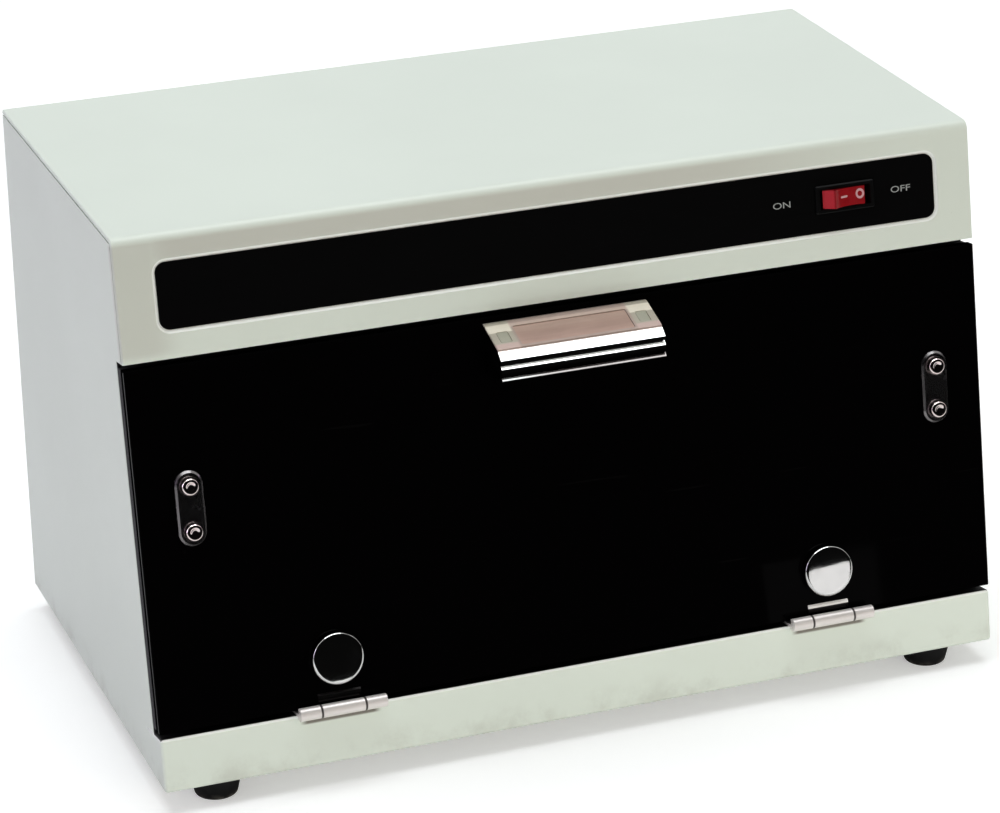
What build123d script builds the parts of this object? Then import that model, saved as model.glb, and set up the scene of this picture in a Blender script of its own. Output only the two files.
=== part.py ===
from build123d import *
from math import atan, atan2, cos, degrees, sin, tan
import os

# A countertop ultraviolet tool sterilizer: painted steel cabinet with a slanted front, fold-down dark door.
# Millimetres. X runs along the width, the front faces -Y, Z is up.
# The shapes are drawn in cabinet coordinates: x from the middle, y from the foot of the slanted front,
# z from the underside of the base. place() then sets the whole on its feet, centred front to back.

# Cabinet
WIDTH = 370.0
HEIGHT = 224.5
DEPTH_BOTTOM = 213.5
DEPTH_TOP = 176.0
SHEET = 1.0
COVER_SHEET = 1.5
STRIP_HEIGHT = 23.0
HEADER_EDGE = 177.6
DOOR_RECESS = 10.3
COVER_SEAM = 0.8
FLANGE_WIDTH = 14.0
SILL_HEIGHT = 8.0
HEADER_DROP = 11.6
BODY_BEND = 1.5
COVER_BEND = 4.0
COVER_ROUND = 0.7
REAR_LIP = 12.0
REAR_FLANGE = 12.0
SEAT_GAP = 0.3
FLANGE_LAP = 9.0

# Chamber lining
LINER_SHEET = 0.8
LINER_CLEARANCE = 0.5
LINER_FLANGE = 11.0
FLOOR_STEP = 1.0
CEILING_DROP = 1.6
LINER_BACK_GAP = 12.5

# Door
DOOR_THICKNESS = 5.0
DOOR_BOTTOM_GAP = 2.1
DOOR_TOP_GAP = 2.4
DOOR_EDGE = 0.4
GASKET_INSET = 0.4
GASKET_LAP = 1.5

# Door hinges
HINGE_FROM_SIDE = 76.0
HINGE_LENGTH = 37.0
KNUCKLE_LENGTH = 18.4
KNUCKLE_GAP = 0.4
KNUCKLE_DIAMETER = 5.5
HINGE_AXIS_RISE = 1.3
KNUCKLE_STAND = 1.25
PIN_DIAMETER = 2.6
PIN_FIT = 0.05
LEAF_THICKNESS = 1.0
LEAF_LENGTH = 9.8
CLAMP_THICKNESS = 0.8
CLAMP_LIP = 5.4
LIP_BEVEL = 0.6
CLAMP_BACK_LENGTH = 30.9
DISC_FROM_EDGE = 19.9
DISC_DIAMETER = 22.0
DISC_HEIGHT = 4.6
DISC_RIM = 1.2
DISC_CROWN = 0.5
DISC_BEVEL = 2.4

# Handle
HANDLE_WIDTH = 71.0
HANDLE_FROM_EDGE = 2.6
HANDLE_REACH = 20.0
HANDLE_SLOPE = 7.6
HANDLE_PLATE = 1.6
HANDLE_BROW = 0.7
HANDLE_LEDGES = (3.4, 2.0, 1.8)
HANDLE_RISERS = (1.6, 2.9, 0.6)
LEDGE_LEAN = 0.9
HANDLE_WALL = 2.2
HANDLE_SCREW_X = 25.0
HANDLE_POST = 7.0
INSERT_WIDTH = 49.0
INSERT_DEPTH = 12.4
INSERT_FORWARD = 1.1
INSERT_RECESS = 0.9
PAD_WIDTH = 5.0
PAD_DEPTH = 7.0
PAD_FROM_END = 5.4
PAD_RECESS = 0.4

# Magnetic catches
CATCH_FROM_SIDE = 21.5
CATCH_FROM_TOP = 58.7
CATCH_WIDTH = 11.6
CATCH_LENGTH = 31.0
CATCH_COVER = 2.0
CATCH_SPACING = 18.8
STRIKE_THICKNESS = 1.5
MAGNET_GAP = 0.3
MAGNET_FIT = 0.15
CATCH_BODY_WIDTH = 12.0
CATCH_BODY_LENGTH = 36.0
CATCH_BODY_DEPTH = 14.0

# Name panel and switch in the header
LABEL_FROM_SIDE = 16.7
LABEL_HEIGHT = 27.2
LABEL_RISE = 25.0
LABEL_CORNER = 4.3
LABEL_THICKNESS = 0.5
LABEL_RECESS = 1.2
LABEL_RIM = 1.5
SWITCH_FROM_SIDE = 57.7
SWITCH_RISE = 0.4
BEZEL_LENGTH = 26.4
BEZEL_HEIGHT = 11.8
BEZEL_THICKNESS = 1.2
SWITCH_BODY_LENGTH = 24.2
SWITCH_BODY_HEIGHT = 10.0
SWITCH_BODY_DEPTH = 18.0
ROCKER_LENGTH = 22.0
ROCKER_HEIGHT = 7.6
ROCKER_TILT = 10.0
ROCKER_CLEARANCE = 0.4
ROCKER_PIVOT_DEPTH = 4.5
ROCKER_PIN = 2.0
ROCKER_LOBE = 3.4

# Lamp
TUBE_DIAMETER = 15.5
TUBE_LENGTH = 276.0
CAP_DIAMETER = 16.0
CAP_LENGTH = 6.2
LAMP_PIN_DIAMETER = 2.4
LAMP_PIN_LENGTH = 6.6
LAMP_PIN_SPACING = 4.8
LAMP_FROM_BACK = 109.0
LAMP_DROP = 18.0
HOLDER_THICKNESS = 13.0
HOLDER_WIDTH = 20.0
REFLECTOR_SHEET = 0.6
REFLECTOR_WIDTH = 66.0

# Tool tray
TRAY_SIDE_GAP = 11.7
TRAY_BACK_GAP = 17.0
TRAY_FRONT = 34.0
TRAY_HEIGHT = 13.0
TRAY_SHEET = 0.8

# Door switch
DOOR_SWITCH_FROM_SIDE = 7.7
DOOR_SWITCH_FROM_TOP = 25.2
DOOR_SWITCH_WIDTH = 9.0
DOOR_SWITCH_LENGTH = 20.0
DOOR_SWITCH_DEPTH = 16.0
PLUNGER_DIAMETER = 3.2
PLUNGER_CLEARANCE = 0.4
PLUNGER_TRAVEL = 4.0

# Mains inlet and rear panel
INLET_FROM_SIDE = 57.0
INLET_FROM_TOP = 34.5
INLET_FLANGE_WIDTH = 50.0
INLET_FLANGE_HEIGHT = 23.0
INLET_FLANGE = 2.6
INLET_BODY_WIDTH = 28.0
INLET_BODY_HEIGHT = 20.6
INLET_MOUTH_WIDTH = 24.0
INLET_MOUTH_HEIGHT = 16.8
INLET_DEPTH = 18.0
INLET_BLADE = 22.0
INLET_SCREW_SPACING = 40.0
VENT_ROWS = 4
VENT_COLUMNS = 5
VENT_LENGTH = 26.0
VENT_HEIGHT = 3.0
VENT_PITCH = 9.0
VENT_FROM_TOP = 59.5

# Feet
FOOT_HEIGHT = 10.0
FOOT_FROM_SIDE = 25.0
FOOT_FRONT = 14.0
FOOT_REAR = 16.0
FOOT_TOP_DIAMETER = 22.0
FOOT_BOTTOM_DIAMETER = 17.5

# Electrical parts on top of the lining
BALLAST_X = 10.0
BALLAST_LENGTH = 84.0
BALLAST_WIDTH = 40.0
BALLAST_HEIGHT = 28.0
STARTER_X = -92.0
STARTER_DIAMETER = 21.5
STARTER_LENGTH = 36.0
STARTER_WALL = 1.6
TERMINAL_X = 84.0
TERMINAL_PITCH = 10.0
TERMINAL_BORE = 3.4
TERMINAL_BORE_UP = 3.8
PARTS_FROM_BACK = 73.0
PART_SEAT = 0.1
WIRE_DIAMETER = 2.2

# Screws
SMALL_SCREW = 2.9
SCREW_HOLE = 3.3
SCREW_HEAD = 5.6
SCREW_HEAD_HEIGHT = 2.0
FOOT_SCREW = 4.0
FOOT_SCREW_HEAD = 7.0
FOOT_SCREW_SINK = 5.2

# Places and sizes that follow from the ones above
SLANT = atan((DEPTH_BOTTOM - DEPTH_TOP) / HEIGHT)
HALF = WIDTH / 2
INNER_HALF = HALF - SHEET
SIDE_TOP = HEIGHT - COVER_SHEET - COVER_SEAM
LINER_HALF = HALF - FLANGE_WIDTH - LINER_CLEARANCE
LINER_BACK = DEPTH_BOTTOM - LINER_BACK_GAP
LINER_FRONT_OUT = -DOOR_RECESS - SHEET
LINER_FLOOR = STRIP_HEIGHT + FLOOR_STEP
LINER_CEILING = HEADER_EDGE - CEILING_DROP
KNUCKLE_RADIUS = KNUCKLE_DIAMETER / 2
HINGE_AXIS_OUT = KNUCKLE_RADIUS + KNUCKLE_STAND
GASKET_THICKNESS = DOOR_RECESS - DOOR_THICKNESS - SEAT_GAP
HEADER_SPLIT = HEADER_EDGE + COVER_SHEET + LINER_CLEARANCE
REAR_PANEL_TOP = HEIGHT - REAR_LIP - LINER_CLEARANCE
ROOF = LINER_CEILING + LINER_SHEET
CAP_END = TUBE_LENGTH / 2 + CAP_LENGTH
DOOR_BOTTOM = STRIP_HEIGHT + DOOR_BOTTOM_GAP
DOOR_TOP = HEADER_EDGE - DOOR_TOP_GAP
HINGE_X = HALF - HINGE_FROM_SIDE
HINGE_AXIS_UP = STRIP_HEIGHT + HINGE_AXIS_RISE
CLAMP_BACK_TOP = DOOR_BOTTOM + CLAMP_BACK_LENGTH
DISC_UP = DOOR_BOTTOM + DISC_FROM_EDGE
HANDLE_TOP = DOOR_TOP - HANDLE_FROM_EDGE
HANDLE_NOSE = HANDLE_TOP - HANDLE_SLOPE
HANDLE_FOOT = HANDLE_NOSE - HANDLE_BROW - sum(HANDLE_LEDGES) - sum(HANDLE_RISERS)
BROW_OUT = HANDLE_REACH - HANDLE_LEDGES[0] * LEDGE_LEAN
CATCH_X = HALF - CATCH_FROM_SIDE
CATCH_UP = DOOR_TOP - CATCH_FROM_TOP
LABEL_WIDTH = WIDTH - 2 * LABEL_FROM_SIDE
LABEL_UP = HEADER_EDGE + LABEL_RISE
SWITCH_X = HALF - SWITCH_FROM_SIDE
SWITCH_UP = LABEL_UP + SWITCH_RISE
LAMP_Y = LINER_BACK - LAMP_FROM_BACK
LAMP_Z = LINER_CEILING - LAMP_DROP
TRAY_WIDTH = 2 * (LINER_HALF - LINER_SHEET - TRAY_SIDE_GAP)
TRAY_DEPTH = LINER_BACK - TRAY_BACK_GAP - TRAY_FRONT
DOOR_SWITCH_X = HALF - DOOR_SWITCH_FROM_SIDE
DOOR_SWITCH_UP = DOOR_TOP - DOOR_SWITCH_FROM_TOP
INLET_X = HALF - INLET_FROM_SIDE
INLET_Z = HEIGHT - INLET_FROM_TOP
FOOT_X = HALF - FOOT_FROM_SIDE
PARTS_Y = LINER_BACK - PARTS_FROM_BACK


def front_yz(up, out=0.0):
    """Side-view point at a distance up the slanted front and out from it."""
    return (up * sin(SLANT) - out * cos(SLANT), up * cos(SLANT) + out * sin(SLANT))


def front_at(z, out=0.0):
    """Side-view point at height z on the line that runs at a distance out from the slanted front."""
    return (z * tan(SLANT) - out / cos(SLANT), z)


# Planes on the slanted front: FRONT is seen from outside, RIB is the section across it.
FRONT = Plane(origin=(0, 0, 0), x_dir=(1, 0, 0), z_dir=(0, -cos(SLANT), sin(SLANT)))
RIB = Plane(origin=(0, 0, 0), x_dir=(0, sin(SLANT), cos(SLANT)), z_dir=(1, 0, 0))

# Placing the whole: the hinge knuckles reach furthest forward and the inlet screws furthest back.
REACH_FRONT = front_yz(HINGE_AXIS_UP, HINGE_AXIS_OUT)[0] - KNUCKLE_RADIUS
REACH_BACK = DEPTH_BOTTOM + INLET_FLANGE + SCREW_HEAD_HEIGHT
PLACE = Location((0, -(REACH_FRONT + REACH_BACK) / 2, FOOT_HEIGHT))


def save(name, shape):
    """Place a shape, or each of a list, in the part's frame and write it under the node's name."""
    if isinstance(shape, list):
        placed = Compound(children=[piece.moved(PLACE) for piece in shape])
    else:
        placed = shape.moved(PLACE)
    export_step(placed, "parts/" + name + ".step")


def block(x, y, z):
    """Box between two limits on each axis."""
    size = (x[1] - x[0], y[1] - y[0], z[1] - z[0])
    middle = ((x[0] + x[1]) / 2, (y[0] + y[1]) / 2, (z[0] + z[1]) / 2)
    return Pos(*middle) * Box(*size)


def slab(across, up, out):
    """Box on the slanted front: limits across it, up it and out from it."""
    return FRONT * block(across, up, out)


def rod(diameter, low, high):
    """Cylinder along Z between two heights."""
    return Pos(0, 0, (low + high) / 2) * Cylinder(diameter / 2, high - low)


def front_rod(across, up, diameter, low, high):
    """Cylinder square to the slanted front between two distances out from it."""
    return FRONT * Pos(across, up, 0) * rod(diameter, low, high)


def across_rod(up, out, diameter, left, right):
    """Cylinder along X at a place on the slanted front's section."""
    y, z = front_yz(up, out)
    return Pos((left + right) / 2, y, z) * Rot(0, 90, 0) * Cylinder(diameter / 2, right - left)


def side_solid(points, left, right):
    """Solid with this side-view outline between two places along X."""
    outline = make_face(Polyline(*points, close=True))
    return Pos(left, 0, 0) * extrude(Plane.YZ * outline, amount=right - left)


def rib_solid(points, left, right):
    """Solid with this outline of (up, out) points, drawn on the section across the front."""
    outline = make_face(Polyline(*points, close=True))
    return Pos(left, 0, 0) * extrude(RIB * outline, amount=right - left)


def rounded_slab(width, height, corner, up, out, across=0.0):
    """Plate on the slanted front with rounded corners."""
    outline = RectangleRounded(width, height, corner)
    return FRONT * Pos(across, up, out[0]) * extrude(outline, amount=out[1] - out[0])


def dome_screw(head, head_height, shank, length, flat=False):
    """Screw along Z with its head's seat at zero: domed or countersunk head with a cross recess."""
    if flat:
        top = Pos(0, 0, -head_height / 2) * Cone(shank / 2, head / 2, head_height)
        crown = 0.0
    else:
        top = rod(head, 0, head_height)
        top = fillet(top.edges().sort_by(Axis.Z)[-1], head_height * 0.7)
        crown = head_height
    slot_width = head * 0.16
    slot_length = head * 0.56
    slot_depth = head_height * 0.55
    recess = Box(slot_length, slot_width, 2 * slot_depth) + Box(slot_width, slot_length, 2 * slot_depth)
    return top + rod(shank, -length, 0) - Pos(0, 0, crown) * recess


def edges_near(shape, test):
    """Edges whose middle passes the test."""
    return [edge for edge in shape.edges() if test(edge @ 0.5)]


def foot_places():
    """Name and middle of each foot."""
    rows = (("front", FOOT_FRONT), ("rear", DEPTH_BOTTOM - FOOT_REAR))
    sides = (("left", -1), ("right", 1))
    return [(row + "_" + side, sign * FOOT_X, y) for row, y in rows for side, sign in sides]


def rear_screw_places():
    """Middles of the rear panel's screws: up both sides and along the base."""
    edge = INNER_HALF - REAR_FLANGE / 2
    low = SHEET + REAR_FLANGE / 2
    sides = [(sign * edge, z) for sign in (-1, 1) for z in (45.0, REAR_PANEL_TOP / 2, REAR_PANEL_TOP - 20.0)]
    return sides + [(sign * WIDTH / 5, low) for sign in (-1, 1)]


def cover_screw_places():
    """Middles of the screws through the cover's rear lip."""
    z = HEIGHT - (REAR_LIP + COVER_SHEET) / 2
    return [(x, z) for x in (-WIDTH / 3, 0.0, WIDTH / 3)]


def rear_hole(x, z, diameter):
    """Hole straight through everything at the back."""
    return Pos(x, DEPTH_BOTTOM - SHEET, z) * Rot(90, 0, 0) * Cylinder(diameter / 2, 8 * SHEET)


def make_cabinet_shell():
    """Sides, base and front strip, with the flanges round the chamber mouth."""
    outline = [
        (0, 0),
        (DEPTH_BOTTOM, 0),
        (DEPTH_BOTTOM, SIDE_TOP),
        front_at(SIDE_TOP, -COVER_SHEET - COVER_SEAM),
        front_yz(HEADER_EDGE, -COVER_SHEET - COVER_SEAM),
        front_yz(HEADER_EDGE, -DOOR_RECESS),
        front_yz(STRIP_HEIGHT, -DOOR_RECESS),
        front_yz(STRIP_HEIGHT, 0),
    ]
    shell = side_solid(outline, -HALF, HALF)

    def on_bend(point):
        """True on the outer edges that are folded round."""
        up = point.Y * sin(SLANT) + point.Z * cos(SLANT)
        out = point.Z * sin(SLANT) - point.Y * cos(SLANT)
        side = abs(abs(point.X) - HALF) < 0.01
        strip_edge = abs(out) < 0.01 and up < STRIP_HEIGHT + 0.01
        mouth_edge = abs(out + DOOR_RECESS) < 0.01 and up < HEADER_EDGE - 1
        ledge = side and abs(up - STRIP_HEIGHT) < 0.01 and -DOOR_RECESS < out < 0
        base = side and abs(point.Z) < 0.01
        return strip_edge or (side and mouth_edge) or ledge or base
    shell = fillet(edges_near(shell, on_bend), BODY_BEND)
    hollow = [
        front_at(SHEET, -SHEET),
        (DEPTH_BOTTOM + SHEET, SHEET),
        (DEPTH_BOTTOM + SHEET, HEIGHT + SHEET),
        front_at(HEIGHT + SHEET, SHEET),
        front_yz(HEADER_EDGE, SHEET),
        front_yz(HEADER_EDGE, LINER_FRONT_OUT),
        front_yz(STRIP_HEIGHT - SHEET, LINER_FRONT_OUT),
        front_yz(STRIP_HEIGHT - SHEET, -SHEET),
    ]
    shell -= side_solid(hollow, -INNER_HALF, INNER_HALF)
    mouth = HALF - FLANGE_WIDTH
    shell -= slab((-mouth, mouth), (STRIP_HEIGHT + SILL_HEIGHT, HEADER_EDGE + 1), (LINER_FRONT_OUT - 1, 0))
    back = (DEPTH_BOTTOM - 2 * SHEET, DEPTH_BOTTOM - SHEET)
    for sign in (-1, 1):
        reach = sorted((sign * INNER_HALF, sign * (INNER_HALF - REAR_FLANGE)))
        shell += block(reach, back, (SHEET, SIDE_TOP - SHEET))
        shell += make_cover_seat(sign)
    shell += block((-INNER_HALF, INNER_HALF), back, (SHEET, SHEET + REAR_FLANGE))
    for x, z in rear_screw_places():
        shell -= rear_hole(x, z, SCREW_HOLE)
    for name, x, y in foot_places():
        shell -= Pos(x, y, SHEET / 2) * Cylinder(FOOT_SCREW / 2 + 0.2, 2 * SHEET)
    for sign in (-1, 1):
        for offset in (-HINGE_LENGTH / 4, HINGE_LENGTH / 4):
            shell -= leaf_screw_hole(sign * HINGE_X + offset)
    shell -= door_switch_hole()
    return shell


def make_cover_seat(sign):
    """Lipped strip inside one side panel that carries the cover."""
    rear = DEPTH_BOTTOM - 2 * SHEET - LINER_CLEARANCE

    def band(near, far):
        """Strip of the side view between two depths below the cover's outer faces, clear of its bend."""
        bend_y, bend_z = front_at(HEIGHT - near, -near)
        return [
            (rear, HEIGHT - near),
            (bend_y + COVER_BEND, bend_z),
            front_at(bend_z - COVER_BEND, -near),
            front_yz(HEADER_SPLIT, -near),
            front_yz(HEADER_SPLIT, -far),
            front_at(HEIGHT - far, -far),
            (rear, HEIGHT - far),
        ]
    seam_foot = COVER_SHEET + COVER_SEAM + 0.6
    lip_in = INNER_HALF - REAR_FLANGE
    web_in = INNER_HALF - SEAT_GAP - SHEET
    web_out = INNER_HALF - SEAT_GAP
    pieces = [
        (band(COVER_SHEET, COVER_SHEET + SHEET), lip_in, web_out),
        (band(COVER_SHEET, COVER_SHEET + FLANGE_LAP), web_in, web_out),
        (band(seam_foot, COVER_SHEET + FLANGE_LAP), web_in, INNER_HALF),
    ]
    seat = None
    for outline, near, far in pieces:
        left, right = sorted((sign * near, sign * far))
        piece = side_solid(outline, left, right)
        seat = piece if seat is None else seat + piece
    return seat


def make_top_cover():
    """Top and header folded from one sheet, with the pressed place of the name panel."""
    rear_top = (DEPTH_BOTTOM, HEIGHT)
    bend = (DEPTH_BOTTOM - DEPTH_TOP, HEIGHT)
    outer = [
        (DEPTH_BOTTOM, HEIGHT - COVER_SHEET),
        rear_top,
        bend,
        front_yz(HEADER_EDGE, 0),
        front_yz(HEADER_EDGE, -COVER_SHEET),
        front_at(HEIGHT - COVER_SHEET, -COVER_SHEET),
    ]
    cover = side_solid(outer, -HALF, HALF)
    outer_bend = edges_near(cover, lambda p: abs(p.Y - bend[0]) < 0.01 and abs(p.Z - HEIGHT) < 0.01)
    cover = fillet(outer_bend, COVER_BEND)
    inner_bend = front_at(HEIGHT - COVER_SHEET, -COVER_SHEET)
    inner_edge = edges_near(
        cover, lambda p: abs(p.Y - inner_bend[0]) < 0.01 and abs(p.Z - inner_bend[1]) < 0.01)
    cover = fillet(inner_edge, COVER_BEND - COVER_SHEET)

    def on_rim(point):
        """True on the outer rim of both side edges, at the top and down the header."""
        out = point.Z * sin(SLANT) - point.Y * cos(SLANT)
        at_top = abs(point.Z - HEIGHT) < 0.01
        at_bend = point.Z > HEIGHT - COVER_BEND and out > -COVER_BEND / 2 and not at_top
        return abs(abs(point.X) - HALF) < 0.01 and (at_top or abs(out) < 0.01 or at_bend)
    cover = fillet(edges_near(cover, on_rim), COVER_ROUND)
    inside = INNER_HALF - SEAT_GAP - 0.1
    cover += slab((-inside, inside), (HEADER_EDGE, HEADER_EDGE + SHEET), (LINER_FRONT_OUT, -COVER_SHEET / 2))
    drop_half = HALF - FLANGE_WIDTH - SEAT_GAP
    cover += slab((-drop_half, drop_half), (HEADER_EDGE - HEADER_DROP, HEADER_EDGE + SHEET),
                  (LINER_FRONT_OUT, -DOOR_RECESS))
    cover += block((-inside, inside), (DEPTH_BOTTOM - SHEET, DEPTH_BOTTOM),
                   (HEIGHT - REAR_LIP, HEIGHT - COVER_SHEET / 2))
    pad_half = INNER_HALF - REAR_FLANGE - SEAT_GAP
    pad_up = LABEL_HEIGHT / 2 + LABEL_RIM + 1
    cover += slab((-pad_half, pad_half), (LABEL_UP - pad_up, LABEL_UP + pad_up),
                  (-COVER_SHEET - LABEL_RECESS, -COVER_SHEET))
    dish = rounded_slab(LABEL_WIDTH + 2 * LABEL_RIM, LABEL_HEIGHT + 2 * LABEL_RIM, LABEL_CORNER + LABEL_RIM,
                        LABEL_UP, (-LABEL_RECESS, 1))
    dish_floor = edges_near(dish, lambda p: abs(p.Z * sin(SLANT) - p.Y * cos(SLANT) + LABEL_RECESS) < 0.01)
    cover -= chamfer(dish_floor, LABEL_RECESS * 0.95, LABEL_RIM * 0.9)
    cover -= switch_slot(1.0)
    for x, z in cover_screw_places():
        cover -= rear_hole(x, z, SCREW_HOLE)
    return cover


def switch_slot(margin):
    """Cut for the switch body, from behind the header to outside it."""
    half_length = SWITCH_BODY_LENGTH / 2 + margin / 2
    half_height = SWITCH_BODY_HEIGHT / 2 + margin / 2
    return slab((SWITCH_X - half_length, SWITCH_X + half_length),
                (SWITCH_UP - half_height, SWITCH_UP + half_height),
                (-COVER_SHEET - LABEL_RECESS - 1, 1))


def make_rear_panel():
    """Flat rear panel with air slots, the inlet's cut-out and a tab behind the cover's lip."""
    half = INNER_HALF - SEAT_GAP
    panel = block((-half, half), (DEPTH_BOTTOM - SHEET, DEPTH_BOTTOM), (SHEET + SEAT_GAP, REAR_PANEL_TOP))
    tab_half = INNER_HALF - REAR_FLANGE - 2.0
    panel += block((-tab_half, tab_half), (DEPTH_BOTTOM - 2 * SHEET, DEPTH_BOTTOM - SHEET),
                   (REAR_PANEL_TOP - REAR_LIP, HEIGHT - COVER_SHEET - SEAT_GAP))
    cut = block((INLET_X - INLET_BODY_WIDTH / 2 - 0.3, INLET_X + INLET_BODY_WIDTH / 2 + 0.3),
                (DEPTH_BOTTOM - 4 * SHEET, DEPTH_BOTTOM + SHEET),
                (INLET_Z - INLET_BODY_HEIGHT / 2 - 0.3, INLET_Z + INLET_BODY_HEIGHT / 2 + 0.3))
    panel -= cut
    for sign in (-1, 1):
        panel -= rear_hole(INLET_X + sign * INLET_SCREW_SPACING / 2, INLET_Z, SCREW_HOLE)
    slot = Plane.XZ * SlotOverall(VENT_LENGTH, VENT_HEIGHT)
    slots = []
    for column in range(VENT_COLUMNS):
        for row in range(VENT_ROWS):
            x = (column - VENT_COLUMNS / 2) * (VENT_LENGTH + VENT_PITCH)
            place = Pos(x, DEPTH_BOTTOM + SHEET, HEIGHT - VENT_FROM_TOP + row * VENT_PITCH)
            slots.append(place * extrude(slot, amount=4 * SHEET))
    panel -= slots
    for x, z in rear_screw_places() + cover_screw_places():
        panel -= rear_hole(x, z, SCREW_HOLE)
    return panel


def make_rear_screws(places):
    """Screws that face backwards, one at each place."""
    screw = dome_screw(SCREW_HEAD, SCREW_HEAD_HEIGHT, SMALL_SCREW, 8.0)
    return [Pos(x, DEPTH_BOTTOM, z) * Rot(-90, 0, 0) * screw for x, z in places]


def make_chamber_liner():
    """Bright lining of the chamber, open to the front, with a flange behind the mouth."""
    outer = [
        front_at(LINER_FLOOR - LINER_SHEET, LINER_FRONT_OUT),
        (LINER_BACK + LINER_SHEET, LINER_FLOOR - LINER_SHEET),
        (LINER_BACK + LINER_SHEET, ROOF),
        front_at(ROOF, LINER_FRONT_OUT),
    ]
    inner = [
        front_at(LINER_FLOOR, 0),
        (LINER_BACK, LINER_FLOOR),
        (LINER_BACK, LINER_CEILING),
        front_at(LINER_CEILING, 0),
    ]
    liner = side_solid(outer, -LINER_HALF, LINER_HALF)
    rim = LINER_HALF + LINER_FLANGE
    liner += slab((-rim, rim), (LINER_FLOOR - LINER_FLANGE, ROOF + LINER_FLANGE),
                  (LINER_FRONT_OUT - LINER_SHEET, LINER_FRONT_OUT))
    liner -= side_solid(inner, LINER_SHEET - LINER_HALF, LINER_HALF - LINER_SHEET)
    liner -= door_switch_hole()
    for sign in (-1, 1):
        for up in catch_screw_heights():
            liner -= catch_screw_axis(sign, up) * rod(SCREW_HOLE, -30, 10)
        holder = sign * (CAP_END + SEAT_GAP + HOLDER_THICKNESS / 2)
        liner -= Pos(holder, LAMP_Y, ROOF) * Cylinder(WIRE_DIAMETER, 8 * LINER_SHEET)
    return liner


def make_door_gasket():
    """Foam frame on the flanges round the chamber mouth, notched for the hinge clamps."""
    half = HALF - GASKET_INSET
    mouth = HALF - FLANGE_WIDTH
    out = (-DOOR_RECESS, -DOOR_RECESS + GASKET_THICKNESS)
    frame = slab((-half, half), (DOOR_BOTTOM + 0.5, DOOR_TOP - 0.5), out)
    opening = (STRIP_HEIGHT + SILL_HEIGHT - GASKET_LAP, HEADER_EDGE - HEADER_DROP + GASKET_LAP)
    frame -= slab((-mouth - GASKET_LAP, mouth + GASKET_LAP), opening, (out[0] - 1, out[1] + 1))
    for sign in (-1, 1):
        reach = KNUCKLE_LENGTH / 2 + 1.5
        frame -= slab((sign * HINGE_X - reach, sign * HINGE_X + reach), (STRIP_HEIGHT, STRIP_HEIGHT + 15),
                      (-DOOR_THICKNESS - CLAMP_THICKNESS - 1.2, 0))
    frame -= door_switch_hole()
    return frame


def make_door_panel():
    """Dark acrylic door with the holes of everything fixed to it."""
    panel = slab((-HALF, HALF), (DOOR_BOTTOM, DOOR_TOP), (-DOOR_THICKNESS, 0))
    panel = chamfer(panel.edges(), DOOR_EDGE)
    for sign in (-1, 1):
        panel -= front_rod(sign * HINGE_X, DISC_UP, SCREW_HOLE + 1, -DOOR_THICKNESS - 1, 1)
        panel -= front_rod(sign * HANDLE_SCREW_X, handle_screw_up(), SCREW_HOLE, -DOOR_THICKNESS - 1, 1)
        for up in catch_cover_heights():
            panel -= front_rod(sign * CATCH_X, up, SCREW_HOLE, -DOOR_THICKNESS - 1, 1)
    return panel


def hinge_knuckle(left, right):
    """Knuckle of the hinge between two places along X."""
    return across_rod(HINGE_AXIS_UP, HINGE_AXIS_OUT, KNUCKLE_DIAMETER, left, right)


def leaf_screw_hole(across):
    """Hole for a leaf screw, through the leaf and the ledge."""
    return leaf_screw_axis(across) * rod(SCREW_HOLE, -20, 0.01)


def leaf_screw_axis(across):
    """Axis of a leaf screw: it points up from the ledge, with zero on the leaf's top."""
    y, z = front_yz(STRIP_HEIGHT + LEAF_THICKNESS, -0.62 * LEAF_LENGTH)
    return Pos(across, y, z) * Rot(-degrees(SLANT), 0, 0)


def make_hinge_base_leaf(middle):
    """Leaf on the cabinet's ledge with the two outer knuckles."""
    half = HINGE_LENGTH / 2
    inner = KNUCKLE_LENGTH / 2 + KNUCKLE_GAP
    leaf = slab((middle - half, middle + half), (STRIP_HEIGHT, STRIP_HEIGHT + LEAF_THICKNESS),
                (-LEAF_LENGTH, HINGE_AXIS_OUT))
    leaf += hinge_knuckle(middle - half, middle - inner)
    leaf += hinge_knuckle(middle + inner, middle + half)
    leaf -= slab((middle - inner, middle + inner), (STRIP_HEIGHT - 1, STRIP_HEIGHT + 3),
                 (0.8, HINGE_AXIS_OUT + 3))
    leaf -= across_rod(HINGE_AXIS_UP, HINGE_AXIS_OUT, PIN_DIAMETER + PIN_FIT,
                       middle - half - 1, middle + half + 1)
    for offset in (-HINGE_LENGTH / 4, HINGE_LENGTH / 4):
        axis = leaf_screw_axis(middle + offset)
        leaf -= axis * rod(SCREW_HOLE, -3, 0.5)
        leaf -= axis * Pos(0, 0, -0.45) * Cone(SCREW_HOLE / 2, SCREW_HEAD / 2 + 0.2, 0.9)
    return leaf


def make_hinge_pin(middle):
    """Hinge pin with rounded ends, flush with the outer knuckles."""
    half = HINGE_LENGTH / 2
    pin = across_rod(HINGE_AXIS_UP, HINGE_AXIS_OUT, PIN_DIAMETER, middle - half, middle + half)
    return fillet(pin.edges().filter_by(GeomType.CIRCLE), PIN_DIAMETER / 6)


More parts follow.
